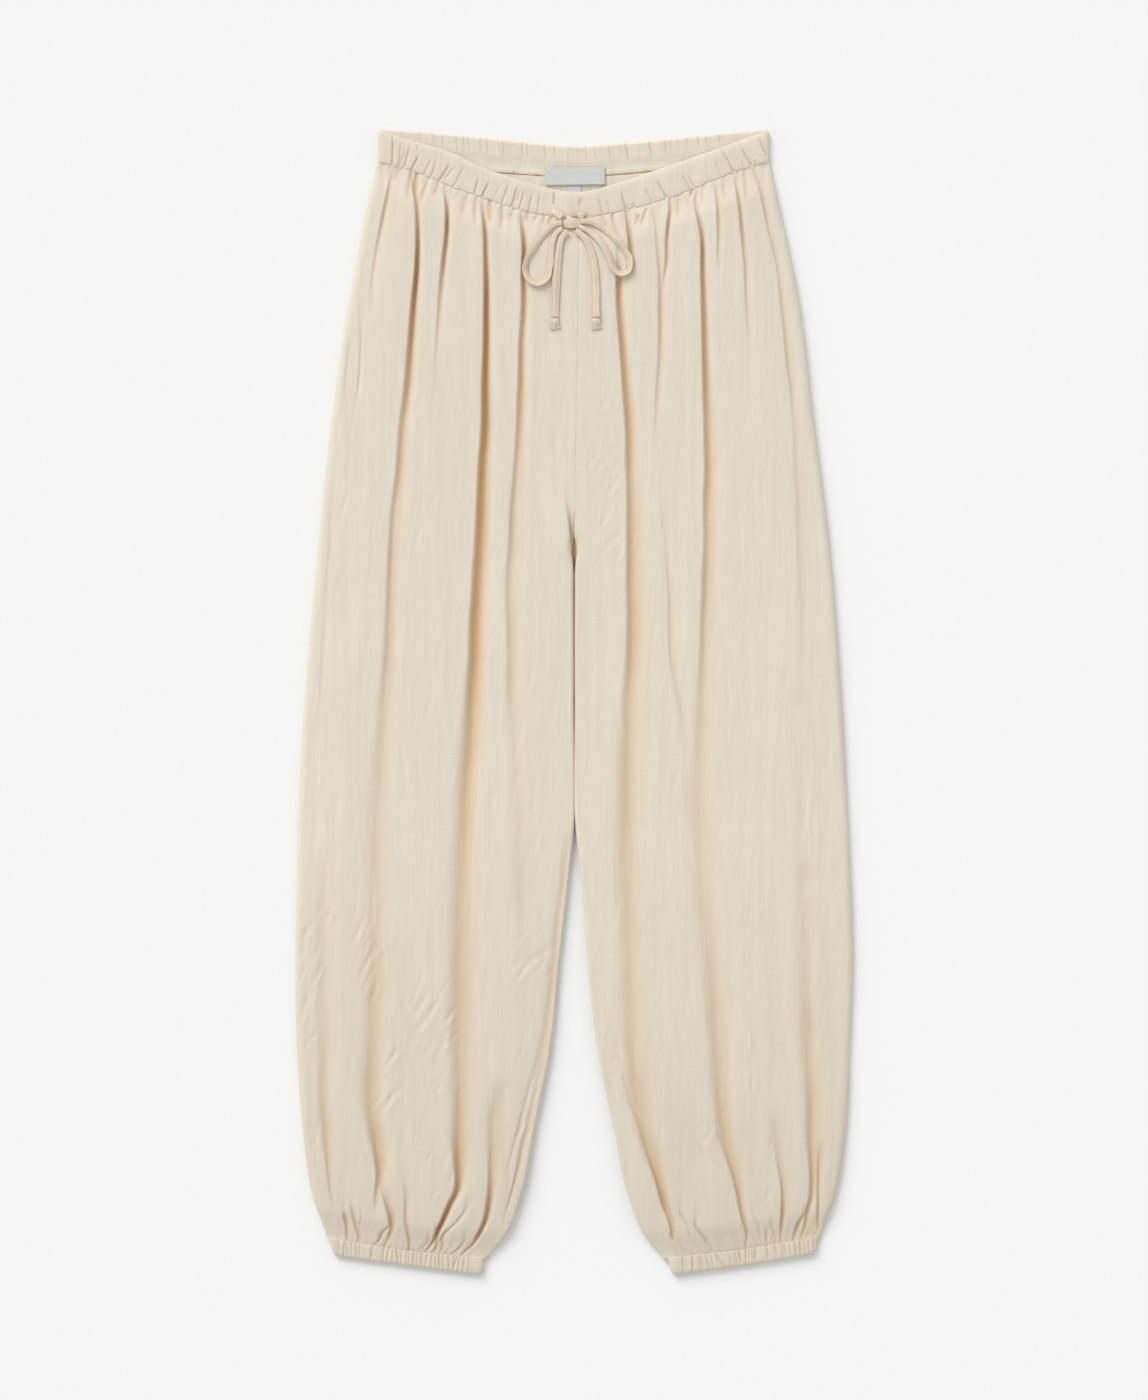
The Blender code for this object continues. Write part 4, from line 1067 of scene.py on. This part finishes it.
def back_waistband():
    x = np.linspace(-BAND_HALF, BAND_HALF, BAND_COLUMNS)[:, None]
    t = crowded(BACK_BAND_ROWS, 0.1)[None, :]
    x = x + 0 * t
    low = BACK_SEAM(x)
    high = band_top(BACK_TOP, x)
    y = between(low, high, t)
    from_top = high - y
    from_low = y - low
    in_casing = 1 - ease((from_top - CASING_HEIGHT + 4.5) / 9)
    creases = gathered(BACK_BAND_GATHERS, x, from_top, GATHER_WIDE)
    puff = BACK_CASING_PUFF + 0.3 * crinkle(x, y * 0, 7, 9, 18)
    inside = BACK_BAND_LEVEL + puff * in_casing
    inside = inside - BACK_GATHER_DEPTH * creases + 0.1 * crinkle(x, y, 3, 9, 20)
    inside = inside + 0.25 * crinkle(x, y, 9, 14, 22)
    inside = inside + 0.35 * quarter_round(from_low + 0.05, 1.2) - 0.35 * ease((from_low - 3.6) / 1.6)
    edge = quarter_round(from_top + 0.02, 2.4)
    ends = 1 - quarter_round(BAND_END - np.abs(x), BAND_END_ROUND)
    under = 1.2 * (1 - quarter_round(from_top + 0.02, 2.2)) + (BAND_SEAM_Z - 1.0) * ends
    under = under + 0.35 * np.minimum(creases, 0.8) * (1 - ends)
    inside = BACK_BAND_EDGE_LEVEL + (inside - BACK_BAND_EDGE_LEVEL) * edge
    inside = inside - 0.7 * overlock(x, from_low)
    inside = np.clip(inside, under + THINNEST, BACK_BAND_HIGHEST)
    inside = between(inside, BAND_SEAM_Z - 0.1, ends)
    # A slight even tint, painted shade in the small gathers, and brown painted shade along the overlocked
    # seam
    shade_paint = 0.04 + 0.5 * creases + 1.1 * overlock(x, from_low)
    return cloth_shell("waistband_back_casing", x, y, inside, under, shade_paint)


def cuff_grid(leg):
    cuff = CUFF_OF[leg]
    share = np.linspace(0, 1, CUFF_COLUMNS)[:, None]
    t = crowded(CUFF_ROWS, 0.35)[None, :]
    top_x = between(cuff.x_top[0], cuff.x_top[2], share)
    hem_x = between(cuff.x_hem[0], cuff.x_hem[2], share)
    top_y = smooth_through(cuff.x_top, cuff.top, top_x)
    hem_y = smooth_through(cuff.x_hem, cuff.hem, hem_x)
    from_end = np.minimum(share, 1 - share) * CUFF_WIDTH
    hem_y = hem_y + CUFF_CORNER * (1 - quarter_round(from_end + 0.02, CUFF_CORNER))
    x = between(hem_x, top_x, t)
    y = between(hem_y, top_y, t)
    creases, puffs = cuff_puffs(leg, x, (1 - t) * (top_y - hem_y))
    y = y - HEM_WAVE * (puffs - 0.5) * (1 - t) ** 3
    return x, y, t * (top_y - hem_y), (1 - t) * (top_y - hem_y), from_end, creases, puffs


def cuff_puffs(leg, x, from_top):
    """How deep a cuff's gathers are, and how far each puff between two of them has swelled."""
    lines = np.stack([gather_line(gather, from_top)[0] for gather in CUFF_GATHERS[leg]])
    nearest = np.abs(lines - x).min(axis=0)
    swelled = quarter_round(nearest + 0.02, PUFF_REACH)
    return gathered(CUFF_GATHERS[leg], x, from_top, GATHER_WIDE), swelled


def front_cuff(leg):
    x, y, from_hem, from_top, from_end, creases, puffs = cuff_grid(leg)
    round_edges = quarter_round(from_hem + 0.05, 5) * quarter_round(from_top + 0.05, 3)
    height = CUFF_LEVEL + CUFF_CASING_PUFF * puffs * round_edges + 0.25 * crinkle(x, y, 5, 9, 41)
    height = height - CUFF_GATHER_DEPTH * creases - 0.12 * hill((from_top - 2.4) / 0.6)
    hem = quarter_round(from_hem + 0.02, CUFF_EDGE_ROUND)
    height = CUFF_EDGE_LEVEL + (height - CUFF_EDGE_LEVEL) * hem
    ends = quarter_round(from_end + 0.02, CUFF_END_ROUND)
    height = BAND_SEAM_Z + 0.9 + (height - BAND_SEAM_Z - 0.9) * ends
    height = np.maximum(height, BAND_SEAM_Z + 0.7)
    inside = np.clip(lowest_near(height) - 0.5, BAND_SEAM_Z + 0.1, 4.2)
    # A slight even tint, and painted shade in the cuff's small gathers
    shade_paint = 0.06 + 0.3 * creases
    return cloth_shell("cuff_front_" + leg + "_casing", x, y, height, inside, shade_paint)


def back_cuff(leg):
    x, y, from_hem, _, from_end, creases, _ = cuff_grid(leg)
    ends = 1 - quarter_round(from_end + 0.02, CUFF_END_ROUND)
    hem = 1 - quarter_round(from_hem + 0.02, 2.5)
    under = 0.9 * hem + (BAND_SEAM_Z - 1.2) * ends + 0.45 * np.minimum(creases, 0.9) * (1 - ends)
    inside = np.maximum(1.9 - 0.6 * creases - 0.4 * hem, under + 0.4)
    inside = between(np.minimum(inside, BAND_SEAM_Z - 0.1), BAND_SEAM_Z - 0.1, ends)
    # Painted shade in the cuff's small gathers
    return cloth_shell("cuff_back_" + leg + "_casing", x, y, inside, under, 0.4 * creases)


# ---------------------------------------------------------------- label


def woven_label(name, middle_x, top_y, size, lift, droop):
    """A thin woven label sewn on along its top; its free end stands a little off the cloth."""
    across = np.linspace(-0.5, 0.5, 53)[:, None]
    down = np.linspace(0, 1, 19)[None, :]
    turn = math.radians(LABEL_TILT)
    flat_x = across * size[0] + 0 * down
    flat_y = -down * size[1] + 0 * across
    x = middle_x + flat_x * math.cos(turn) - flat_y * math.sin(turn)
    y = top_y + flat_x * math.sin(turn) + flat_y * math.cos(turn)
    height = lift + droop * down**1.4 + 0.18 * crinkle(x, y, 11, 14, 51) * down
    height = height - 0.25 * hill((down * size[1] - 1.3) / 0.5)
    x = x[:, ::-1]
    y = y[:, ::-1]
    height = height[:, ::-1]
    return cloth_shell(name, x, y, height, height - 0.3, 0 * height)


# ---------------------------------------------------------------- drawstring


def cloth_under(x, y):
    """How high the front's cloth or its waistband lies at a point."""
    leg_right = leg_surface("right", np.minimum(x, HIGH_EDGE["right"](y)), y)[0]
    leg_left = leg_surface("left", np.maximum(x, LOW_EDGE["left"](y)), y)[0]
    on_leg = np.where(x < HIGH_EDGE["right"](y), leg_right, leg_left)
    return np.where(y > front_seam(x), 6.1, on_leg)


def tie_along(stops, step=0.9):
    """A smooth line through the tie's stops, in even steps: the way along it, x and y."""
    xs = [stop[0] for stop in stops]
    ys = [stop[1] for stop in stops]
    at = np.concatenate([[0], np.cumsum(np.hypot(np.diff(xs), np.diff(ys)))])
    s = np.linspace(0, at[-1], int(at[-1] / step) + 2)
    return s, smooth_through(at, xs, s), smooth_through(at, ys, s)


def lying_height(x, y, reach):
    """How high the cloth under a tie lies, smoothed as the tie bridges its small dips."""
    beside = [cloth_under(x + dx, y + dy) for dx in (-reach, 0, reach) for dy in (-reach, 0, reach)]
    height = np.max(beside, axis=0)
    kernel = np.hanning(15)
    return np.convolve(np.pad(height, 7, mode="edge"), kernel / kernel.sum(), mode="valid")


def tie_section(width, thick, sides=28):
    """The cut across a folded tie: a flat oval with three low ridges along it."""
    angles = np.linspace(0, 2 * math.pi, sides, endpoint=False)
    wide = np.cos(angles)
    high = np.sin(angles)
    across = np.sign(wide) * np.abs(wide) ** 0.9 * width / 2
    up = np.sign(high) * np.abs(high) ** 0.8 * thick / 2
    ridges = 0.2 * np.cos(2 * math.pi * across / width * 2) * high
    return np.stack([across, up + ridges], axis=1)


def swept_tie(name, path, widths, thicks, rolls):
    """A folded tie of changing width along a path in space, closed at both ends."""
    path = np.asarray(path, float)
    ahead = np.gradient(path, axis=0)
    ahead /= np.linalg.norm(ahead, axis=1)[:, None]
    side = np.cross(ahead, [0, 0, 1.0])
    side /= np.maximum(np.linalg.norm(side, axis=1)[:, None], 1e-6)
    top = np.cross(side, ahead)
    points = []
    shade = []
    for k in range(len(path)):
        cut = tie_section(widths[k], thicks[k])
        turn_cos = math.cos(rolls[k])
        turn_sin = math.sin(rolls[k])
        a = cut[:, 0] * turn_cos - cut[:, 1] * turn_sin
        b = cut[:, 0] * turn_sin + cut[:, 1] * turn_cos
        points.append(path[k] + a[:, None] * side[k] + b[:, None] * top[k])
        folded = 0.5 + 0.5 * np.cos(4 * math.pi * cut[:, 0] / widths[k] + 0.8)
        shade.append(0.12 + 0.3 * folded * (cut[:, 1] > 0) + 0.4 * (b.max() - b) / (b.max() - b.min()))
    sides = len(points[0])
    numbers = np.arange(len(path) * sides).reshape(len(path), sides)
    numbers = np.concatenate([numbers, numbers[:, :1]], axis=1)
    faces = grid_faces(numbers, False)
    faces.append(numbers[0, :-1][::-1].tolist())
    faces.append(numbers[-1, :-1].tolist())
    return mesh_object(name, np.concatenate(points), faces, np.concatenate(shade))


# The tie's route, as its solids have it: its points kept as they are
STRANDS = {
    "right": ((-18.8, 424.6), (-15.0, 421.6), (-9.8, 418.0)),
    "left": ((11.6, 421.4), (8.0, 420.4), (3.8, 418.8)),
}
LOOPS = {
    "right": (
        (-9.8, 413.4), (-15.4, 412.4), (-22.5, 407.2), (-29.0, 399.4), (-35.2, 390.0), (-40.2, 380.6),
        (-41.6, 371.6), (-38.3, 363.8), (-30.5, 360.4), (-23.4, 364.6), (-20.6, 374.0), (-19.2, 386.0),
        (-17.8, 397.0), (-14.4, 404.6), (-9.6, 408.4),
    ),
    "left": (
        (5.8, 414.4), (13.6, 414.2), (23.6, 409.6), (33.6, 401.2), (42.8, 391.0), (48.4, 380.0),
        (47.2, 371.6), (40.8, 369.0), (34.6, 373.4), (31.0, 383.0), (25.4, 393.4), (18.4, 401.8),
        (11.4, 407.0), (5.0, 409.4),
    ),
}  # fmt: skip
TAILS = {
    "right": (
        (-5.6, 406.2), (-9.8, 400.6), (-12.2, 392.0), (-13.4, 381.0), (-14.4, 369.0), (-15.2, 356.0),
        (-15.8, 343.0), (-16.0, 331.6),
    ),
    "left": (
        (1.8, 406.4), (8.4, 401.2), (13.2, 392.8), (16.4, 382.4), (18.2, 370.4), (19.0, 356.8),
        (19.0, 343.0), (19.4, 331.6),
    ),
}  # fmt: skip
# The turns of the tie over the knot, from one side of it to the other
Turn = namedtuple("Turn", "x y to_x to_y rise width thick")
KNOT_TURNS = (
    Turn(-9.5, 412.0, 7.5, 413.0, 1.6, 8.5, 1.4),
    Turn(-6.0, 418.0, 4.5, 409.0, 2.0, 5.0, 1.3),
)

# An end knot and the cut end below it, from the tail's side down
KnotRing = namedtuple("KnotRing", "along width thick")
END_KNOT = (
    KnotRing(3.2, 7.0, 1.7),
    KnotRing(1.6, 6.6, 2.1),
    KnotRing(0.0, 7.0, 2.4),
    KnotRing(-1.8, 7.0, 2.0),
    KnotRing(-3.4, 8.4, 1.5),
    KnotRing(-4.8, 9.8, 1.1),
    KnotRing(-6.0, 10.6, 0.9),
)


def tie_strand(name, stops):
    """A short stretch of the tie from its buttonhole up onto the knot."""
    s, x, y = tie_along(stops, 0.5)
    share = s / s[-1]
    height = KNOT_BASE - 2.4 * (1 - ease(share / 0.45)) + 1.1 * share
    widths = between(3.0, 6.4, ease(share / 0.7))
    return swept_tie(name, np.stack([x, y, height], axis=1), widths, between(1.2, 2.0, share), 0 * s)


def knot_turn(name, turn):
    """One turn of the tie over the knot, tucked in at both ends."""
    t = np.linspace(-1, 1, 29)
    x = between(turn.x, turn.to_x, (t + 1) / 2) + 0.8 * (1 - t**2)
    y = between(turn.y, turn.to_y, (t + 1) / 2)
    height = KNOT_BASE - 1.6 + (turn.rise + 1.6) * np.sqrt(np.maximum(1 - t**2, 0))
    widths = turn.width * (0.62 + 0.38 * np.sqrt(np.maximum(1 - t**2, 0)))
    return swept_tie(name, np.stack([x, y, height], axis=1), widths, np.full(29, turn.thick), 0.12 * t)


def laid_tie(name, stops, both_ends, seed):
    """A long stretch of the tie on the cloth: narrow by the knot, wider and rolled further out."""
    s, x, y = tie_along(stops)
    from_knot = np.minimum(s, s[-1] - s) if both_ends else s
    out = ease(from_knot / 38)
    widths = between(TIE_PINCHED, LOOP_WIDE if both_ends else TAIL_WIDE, out)
    widths = widths * (1 + 0.07 * crinkle(s, s * 0, 6, 9, seed))
    thicks = between(1.8, 1.4, out) * (1 + 0.12 * crinkle(s, s * 0, 5, 9, seed + 1))
    side = math.copysign(1, stops[-2][0])
    lean = LOOP_LEAN * np.sin(math.pi * s / s[-1]) ** 2 if both_ends else 0.12 * out
    rolls = -side * lean + 0.12 * crinkle(s, s * 0, 13, 9, seed + 2)
    half = np.abs(widths / 2 * np.sin(rolls)) + np.abs(thicks / 2 * np.cos(rolls))
    rise = 1.5 * (1 - ease(s / 26)) + 0.5 * (1 - ease((s[-1] - s) / 14)) * both_ends
    path = np.stack([x, y, lying_height(x, y, 2.5) + SEAM_GAP + rise + half], axis=1)
    return swept_tie(name, path, widths, thicks, rolls), path


def end_knot(name, x, y):
    """The overhand knot near a free end: a lump with a turn over it, and the cut end spread below."""
    base = float(cloth_under(np.array(x), np.array(y))) + SEAM_GAP
    numbers = range(len(END_KNOT))
    fine = np.linspace(0, numbers[-1], 40)
    widths = smooth_through(numbers, column(END_KNOT, "width"), fine)
    thicks = smooth_through(numbers, column(END_KNOT, "thick"), fine)
    along = smooth_through(numbers, column(END_KNOT, "along"), fine)
    path = np.stack([x + 0.008 * along**2, y + along, base + thicks / 2 + 0.2], axis=1)
    lump = swept_tie(name, path, widths, thicks, np.full(40, 0.1))
    turn = np.linspace(-1, 1, 24)
    over = np.stack([x + 3.4 * turn, y - 0.4 - 1.6 * turn, base + 2.5 - 1.9 * turn**2], axis=1)
    wrap = swept_tie(name + "_turn", over, np.full(24, 2.6), np.full(24, 0.7), 0.25 * turn)
    return joined(name, lump, wrap)


def joined(name, *parts):
    """Several meshes as one piece."""
    with bpy.context.temp_override(
        active_object=parts[0], object=parts[0], selected_objects=list(parts),
        selected_editable_objects=list(parts),
    ):  # fmt: skip
        bpy.ops.object.join()
    parts[0].name = name
    return parts[0]


# ---------------------------------------------------------------- materials


def linear(hex_colour):
    """An sRGB hex colour as linear red, green, blue and 1."""
    values = [int(hex_colour[i : i + 2], 16) / 255 for i in (1, 3, 5)]
    return (*(v / 12.92 if v <= 0.04045 else ((v + 0.055) / 1.055) ** 2.4 for v in values), 1)


def add(tree, kind, links=None, **settings):
    """Add a node: settings go to its own values or its inputs, links join its inputs."""
    node = tree.nodes.new(kind)
    for name, value in settings.items():
        if hasattr(node, name):
            setattr(node, name, value)
        else:
            node.inputs[name.replace("_", " ")].default_value = value
    for name, source in (links or {}).items():
        tree.links.new(source, node.inputs[name])
    return node


def new_finish(name):
    """A material with its tree empty but for the output and the shader."""
    finish = bpy.data.materials.new(name)
    finish.use_nodes = True
    tree = finish.node_tree
    tree.nodes.clear()
    out = tree.nodes.new("ShaderNodeOutputMaterial")
    shader = tree.nodes.new("ShaderNodeBsdfPrincipled")
    tree.links.new(shader.outputs["BSDF"], out.inputs["Surface"])
    return finish, tree, shader


def woven_crepe(name, base, shade, shade_tint, slub_bump):
    """Crinkled viscose, plain woven and washed: matt, with fine upright slubs and a soft crinkle.

    Its threads are about 0.35 mm apart, too fine to show, so the weave is drawn at 1.1 mm.
    """
    finish, tree, shader = new_finish(name)
    place = add(tree, "ShaderNodeTexCoord").outputs["Object"]
    upright = add(tree, "ShaderNodeMapping", {"Vector": place}, Scale=(1, 0.05, 1)).outputs[0]
    drawn = add(tree, "ShaderNodeMapping", {"Vector": place}, Scale=(1, 0.16, 1)).outputs[0]
    slubs = add(tree, "ShaderNodeTexNoise", {"Vector": upright}, Scale=520.0, Detail=3.0, Roughness=0.6)
    streaks = add(tree, "ShaderNodeTexNoise", {"Vector": upright}, Scale=120.0, Detail=2.0)
    crushes = add(tree, "ShaderNodeTexNoise", {"Vector": drawn}, Scale=170.0, Detail=3.0, Distortion=0.6)
    weave = add(tree, "ShaderNodeTexNoise", {"Vector": place}, Scale=900.0, Detail=1.0)
    patches = add(tree, "ShaderNodeTexNoise", {"Vector": place}, Scale=14.0, Detail=2.0)
    thread = add(
        tree, "ShaderNodeMath", {0: slubs.outputs["Fac"], 1: streaks.outputs["Fac"]}, operation="ADD"
    )
    tone = add(
        tree, "ShaderNodeMapRange", {"Value": thread.outputs[0]},
        From_Min=0.75, From_Max=1.3, To_Min=0.0, To_Max=1.0,
    )  # fmt: skip
    cloth = add(tree, "ShaderNodeMix", {"Factor": tone.outputs[0]}, data_type="RGBA")
    cloth.inputs[6].default_value = linear(shade)
    cloth.inputs[7].default_value = linear(base)
    blush = add(tree, "ShaderNodeMix", {"Factor": patches.outputs["Fac"]}, data_type="RGBA")
    blush.blend_type = "MULTIPLY"
    blush.inputs[7].default_value = linear("#FCF8F2")
    tree.links.new(cloth.outputs[2], blush.inputs[6])
    # Painted shade: each point's painted-shade amount multiplies the cloth by a warm, darker tone
    painted_shade = add(tree, "ShaderNodeAttribute", attribute_name="painted_shade")
    deep = add(tree, "ShaderNodeMath", {0: painted_shade.outputs["Fac"]}, operation="POWER")
    deep.inputs[1].default_value = 1.1
    painted_fold_shade = add(
        tree, "ShaderNodeMix", {"Factor": deep.outputs[0], 6: blush.outputs[2]}, data_type="RGBA"
    )
    painted_fold_shade.blend_type = "MULTIPLY"
    painted_fold_shade.inputs[7].default_value = linear(shade_tint)
    # Painted shade: the cloth a little darker towards the cuffs, going by the object's Y
    height = add(tree, "ShaderNodeSeparateXYZ", {"Vector": place}).outputs["Y"]
    low = add(
        tree, "ShaderNodeMapRange", {"Value": height}, From_Min=-0.12, From_Max=-0.47, To_Min=0.0, To_Max=1.0
    )
    painted_falloff = add(
        tree, "ShaderNodeMix", {"Factor": low.outputs[0], 6: painted_fold_shade.outputs[2]}, data_type="RGBA"
    )
    painted_falloff.blend_type = "MULTIPLY"
    painted_falloff.inputs[7].default_value = linear("#F4F4F2")
    tree.links.new(painted_falloff.outputs[2], shader.inputs["Base Color"])
    rough = add(tree, "ShaderNodeMath", {0: crushes.outputs["Fac"], 1: slubs.outputs["Fac"]}, operation="ADD")
    rough = add(tree, "ShaderNodeMath", {0: rough.outputs[0], 1: weave.outputs["Fac"]}, operation="ADD")
    bump = add(
        tree, "ShaderNodeBump", {"Height": rough.outputs[0]}, Strength=slub_bump, Distance=0.0006
    )
    tree.links.new(bump.outputs[0], shader.inputs["Normal"])
    shader.inputs["Roughness"].default_value = 0.88
    shader.inputs["Specular IOR Level"].default_value = 0.25
    shader.inputs["Sheen Weight"].default_value = 0.12
    shader.inputs["Sheen Roughness"].default_value = 0.6
    return finish


def label_satin():
    """Woven polyester satin, heat-cut: smoother and whiter than the cloth, with fine level ribs."""
    finish, tree, shader = new_finish("woven polyester label satin")
    place = add(tree, "ShaderNodeTexCoord").outputs["Object"]
    ribs = add(tree, "ShaderNodeMapping", {"Vector": place}, Scale=(0.08, 1, 1)).outputs[0]
    threads = add(tree, "ShaderNodeTexNoise", {"Vector": ribs}, Scale=1400.0, Detail=1.0)
    colour = add(tree, "ShaderNodeMix", {"Factor": threads.outputs["Fac"]}, data_type="RGBA")
    colour.inputs[6].default_value = linear("#C5C5C3")
    colour.inputs[7].default_value = linear("#D3D3D0")
    tree.links.new(colour.outputs[2], shader.inputs["Base Color"])
    bump = add(tree, "ShaderNodeBump", {"Height": threads.outputs["Fac"]}, Strength=0.3, Distance=0.0002)
    tree.links.new(bump.outputs[0], shader.inputs["Normal"])
    shader.inputs["Roughness"].default_value = 0.5
    shader.inputs["Sheen Weight"].default_value = 0.1
    return finish


def photo_paper():
    """Matt white background paper."""
    finish, tree, shader = new_finish("matt white paper")
    place = add(tree, "ShaderNodeTexCoord").outputs["Object"]
    fibres = add(tree, "ShaderNodeTexNoise", {"Vector": place}, Scale=3.0, Detail=2.0)
    colour = add(tree, "ShaderNodeMix", {"Factor": fibres.outputs["Fac"]}, data_type="RGBA")
    colour.inputs[6].default_value = linear("#F5F5F5")
    colour.inputs[7].default_value = linear("#F6F6F6")
    tree.links.new(colour.outputs[2], shader.inputs["Base Color"])
    shader.inputs["Roughness"].default_value = 1.0
    shader.inputs["Specular IOR Level"].default_value = 0.0
    return finish


# ---------------------------------------------------------------- light and camera


def light_and_camera():
    scene = bpy.context.scene
    scene.view_settings.view_transform = "Standard"
    eye = bpy.data.cameras.new("camera")
    eye.lens = LENS
    eye.sensor_width = SENSOR
    away = VIEW_HEIGHT * LENS / SENSOR + 9.0
    camera = bpy.data.objects.new("camera", eye)
    camera.location = (VIEW_CENTRE[0] * MM, VIEW_CENTRE[1] * MM, away * MM)
    bpy.context.collection.objects.link(camera)
    scene.camera = camera
    sky = bpy.data.worlds.new("soft white studio")
    sky.use_nodes = True
    sky.node_tree.nodes["Background"].inputs["Color"].default_value = (1, 1, 1, 1)
    sky.node_tree.nodes["Background"].inputs["Strength"].default_value = SKY
    scene.world = sky
    lamp = bpy.data.lights.new("window", "SUN")
    lamp.energy = SUN
    lamp.angle = math.radians(SUN_WIDTH)
    sun = bpy.data.objects.new("window", lamp)
    sun.rotation_euler = Vector(SUN_FROM).to_track_quat("Z", "Y").to_euler()
    bpy.context.collection.objects.link(sun)


def floor():
    corners = ((-1, -1), (1, -1), (1, 1), (-1, 1))
    points = [(FLOOR_HALF * x, FLOOR_HALF * y, 0) for x, y in corners]
    made = mesh_object("floor", points, [[0, 1, 2, 3]])
    made.data.materials.append(photo_paper())


def finish_piece(piece, material, slot, *nodes):
    piece.data.materials.clear()
    piece.data.materials.append(material)
    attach(piece, "root")
    if nodes:
        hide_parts(*nodes)
    return piece


light_and_camera()
floor()
crepe = woven_crepe("crinkled viscose crepe", CLOTH_BASE, CLOTH_SHADE, CLOTH_PAINTED_SHADE, 0.35)
tie_cloth = woven_crepe("folded viscose tie", CLOTH_BASE, CLOTH_SHADE, CLOTH_PAINTED_SHADE, 0.3)
satin = label_satin()

for leg in ("right", "left"):
    finish_piece(front_panel(leg), crepe, "cream_cloth", "front_panel_" + leg)
    finish_piece(back_panel(leg), crepe, "cream_cloth", "back_panel_" + leg)
    cuff_face = finish_piece(front_cuff(leg), crepe, "cream_cloth", "cuff_front_" + leg)
    cuff_back = finish_piece(back_cuff(leg), crepe, "cream_cloth", "cuff_back_" + leg)
band = finish_piece(front_waistband(), crepe, "cream_cloth", "waistband_front")
back_band = finish_piece(back_waistband(), crepe, "cream_cloth", "waistband_back")
label = woven_label("woven_label", LABEL_X, LABEL_TOP_Y, LABEL_SIZE, LABEL_LIFT, LABEL_DROOP)
finish_piece(label, satin, "white_label", "label_main")
size_tab = woven_label(
    "size_tab", LABEL_X - SIZE_TAB_ASIDE, LABEL_TOP_Y - SIZE_TAB_BELOW, SIZE_TAB_SIZE, SIZE_TAB_LIFT,
    SIZE_TAB_DROOP,
)  # fmt: skip
finish_piece(size_tab, satin, "white_label", "label_size")
strands = [tie_strand("strand_" + side, STRANDS[side]) for side in ("right", "left")]
knot = joined("wrapped_knot", *strands, *(knot_turn("turn", turn) for turn in KNOT_TURNS))
finish_piece(
    knot, tie_cloth, "cream_tie", "drawstring_knot", "drawstring_strand_right", "drawstring_strand_left"
)
for leg in ("right", "left"):
    loop, loop_path = laid_tie("loop_" + leg, LOOPS[leg], True, 61)
    finish_piece(loop, tie_cloth, "cream_tie", "drawstring_loop_" + leg)
    tail, tail_path = laid_tie("tail_" + leg, TAILS[leg], False, 71)
    finish_piece(tail, tie_cloth, "cream_tie", "drawstring_tail_" + leg)
    low_x, low_y = TAILS[leg][-1]
    end = end_knot("end_knot_" + leg, low_x, low_y - 4.0)
    finish_piece(end, tie_cloth, "cream_tie", "drawstring_end_knot_" + leg)
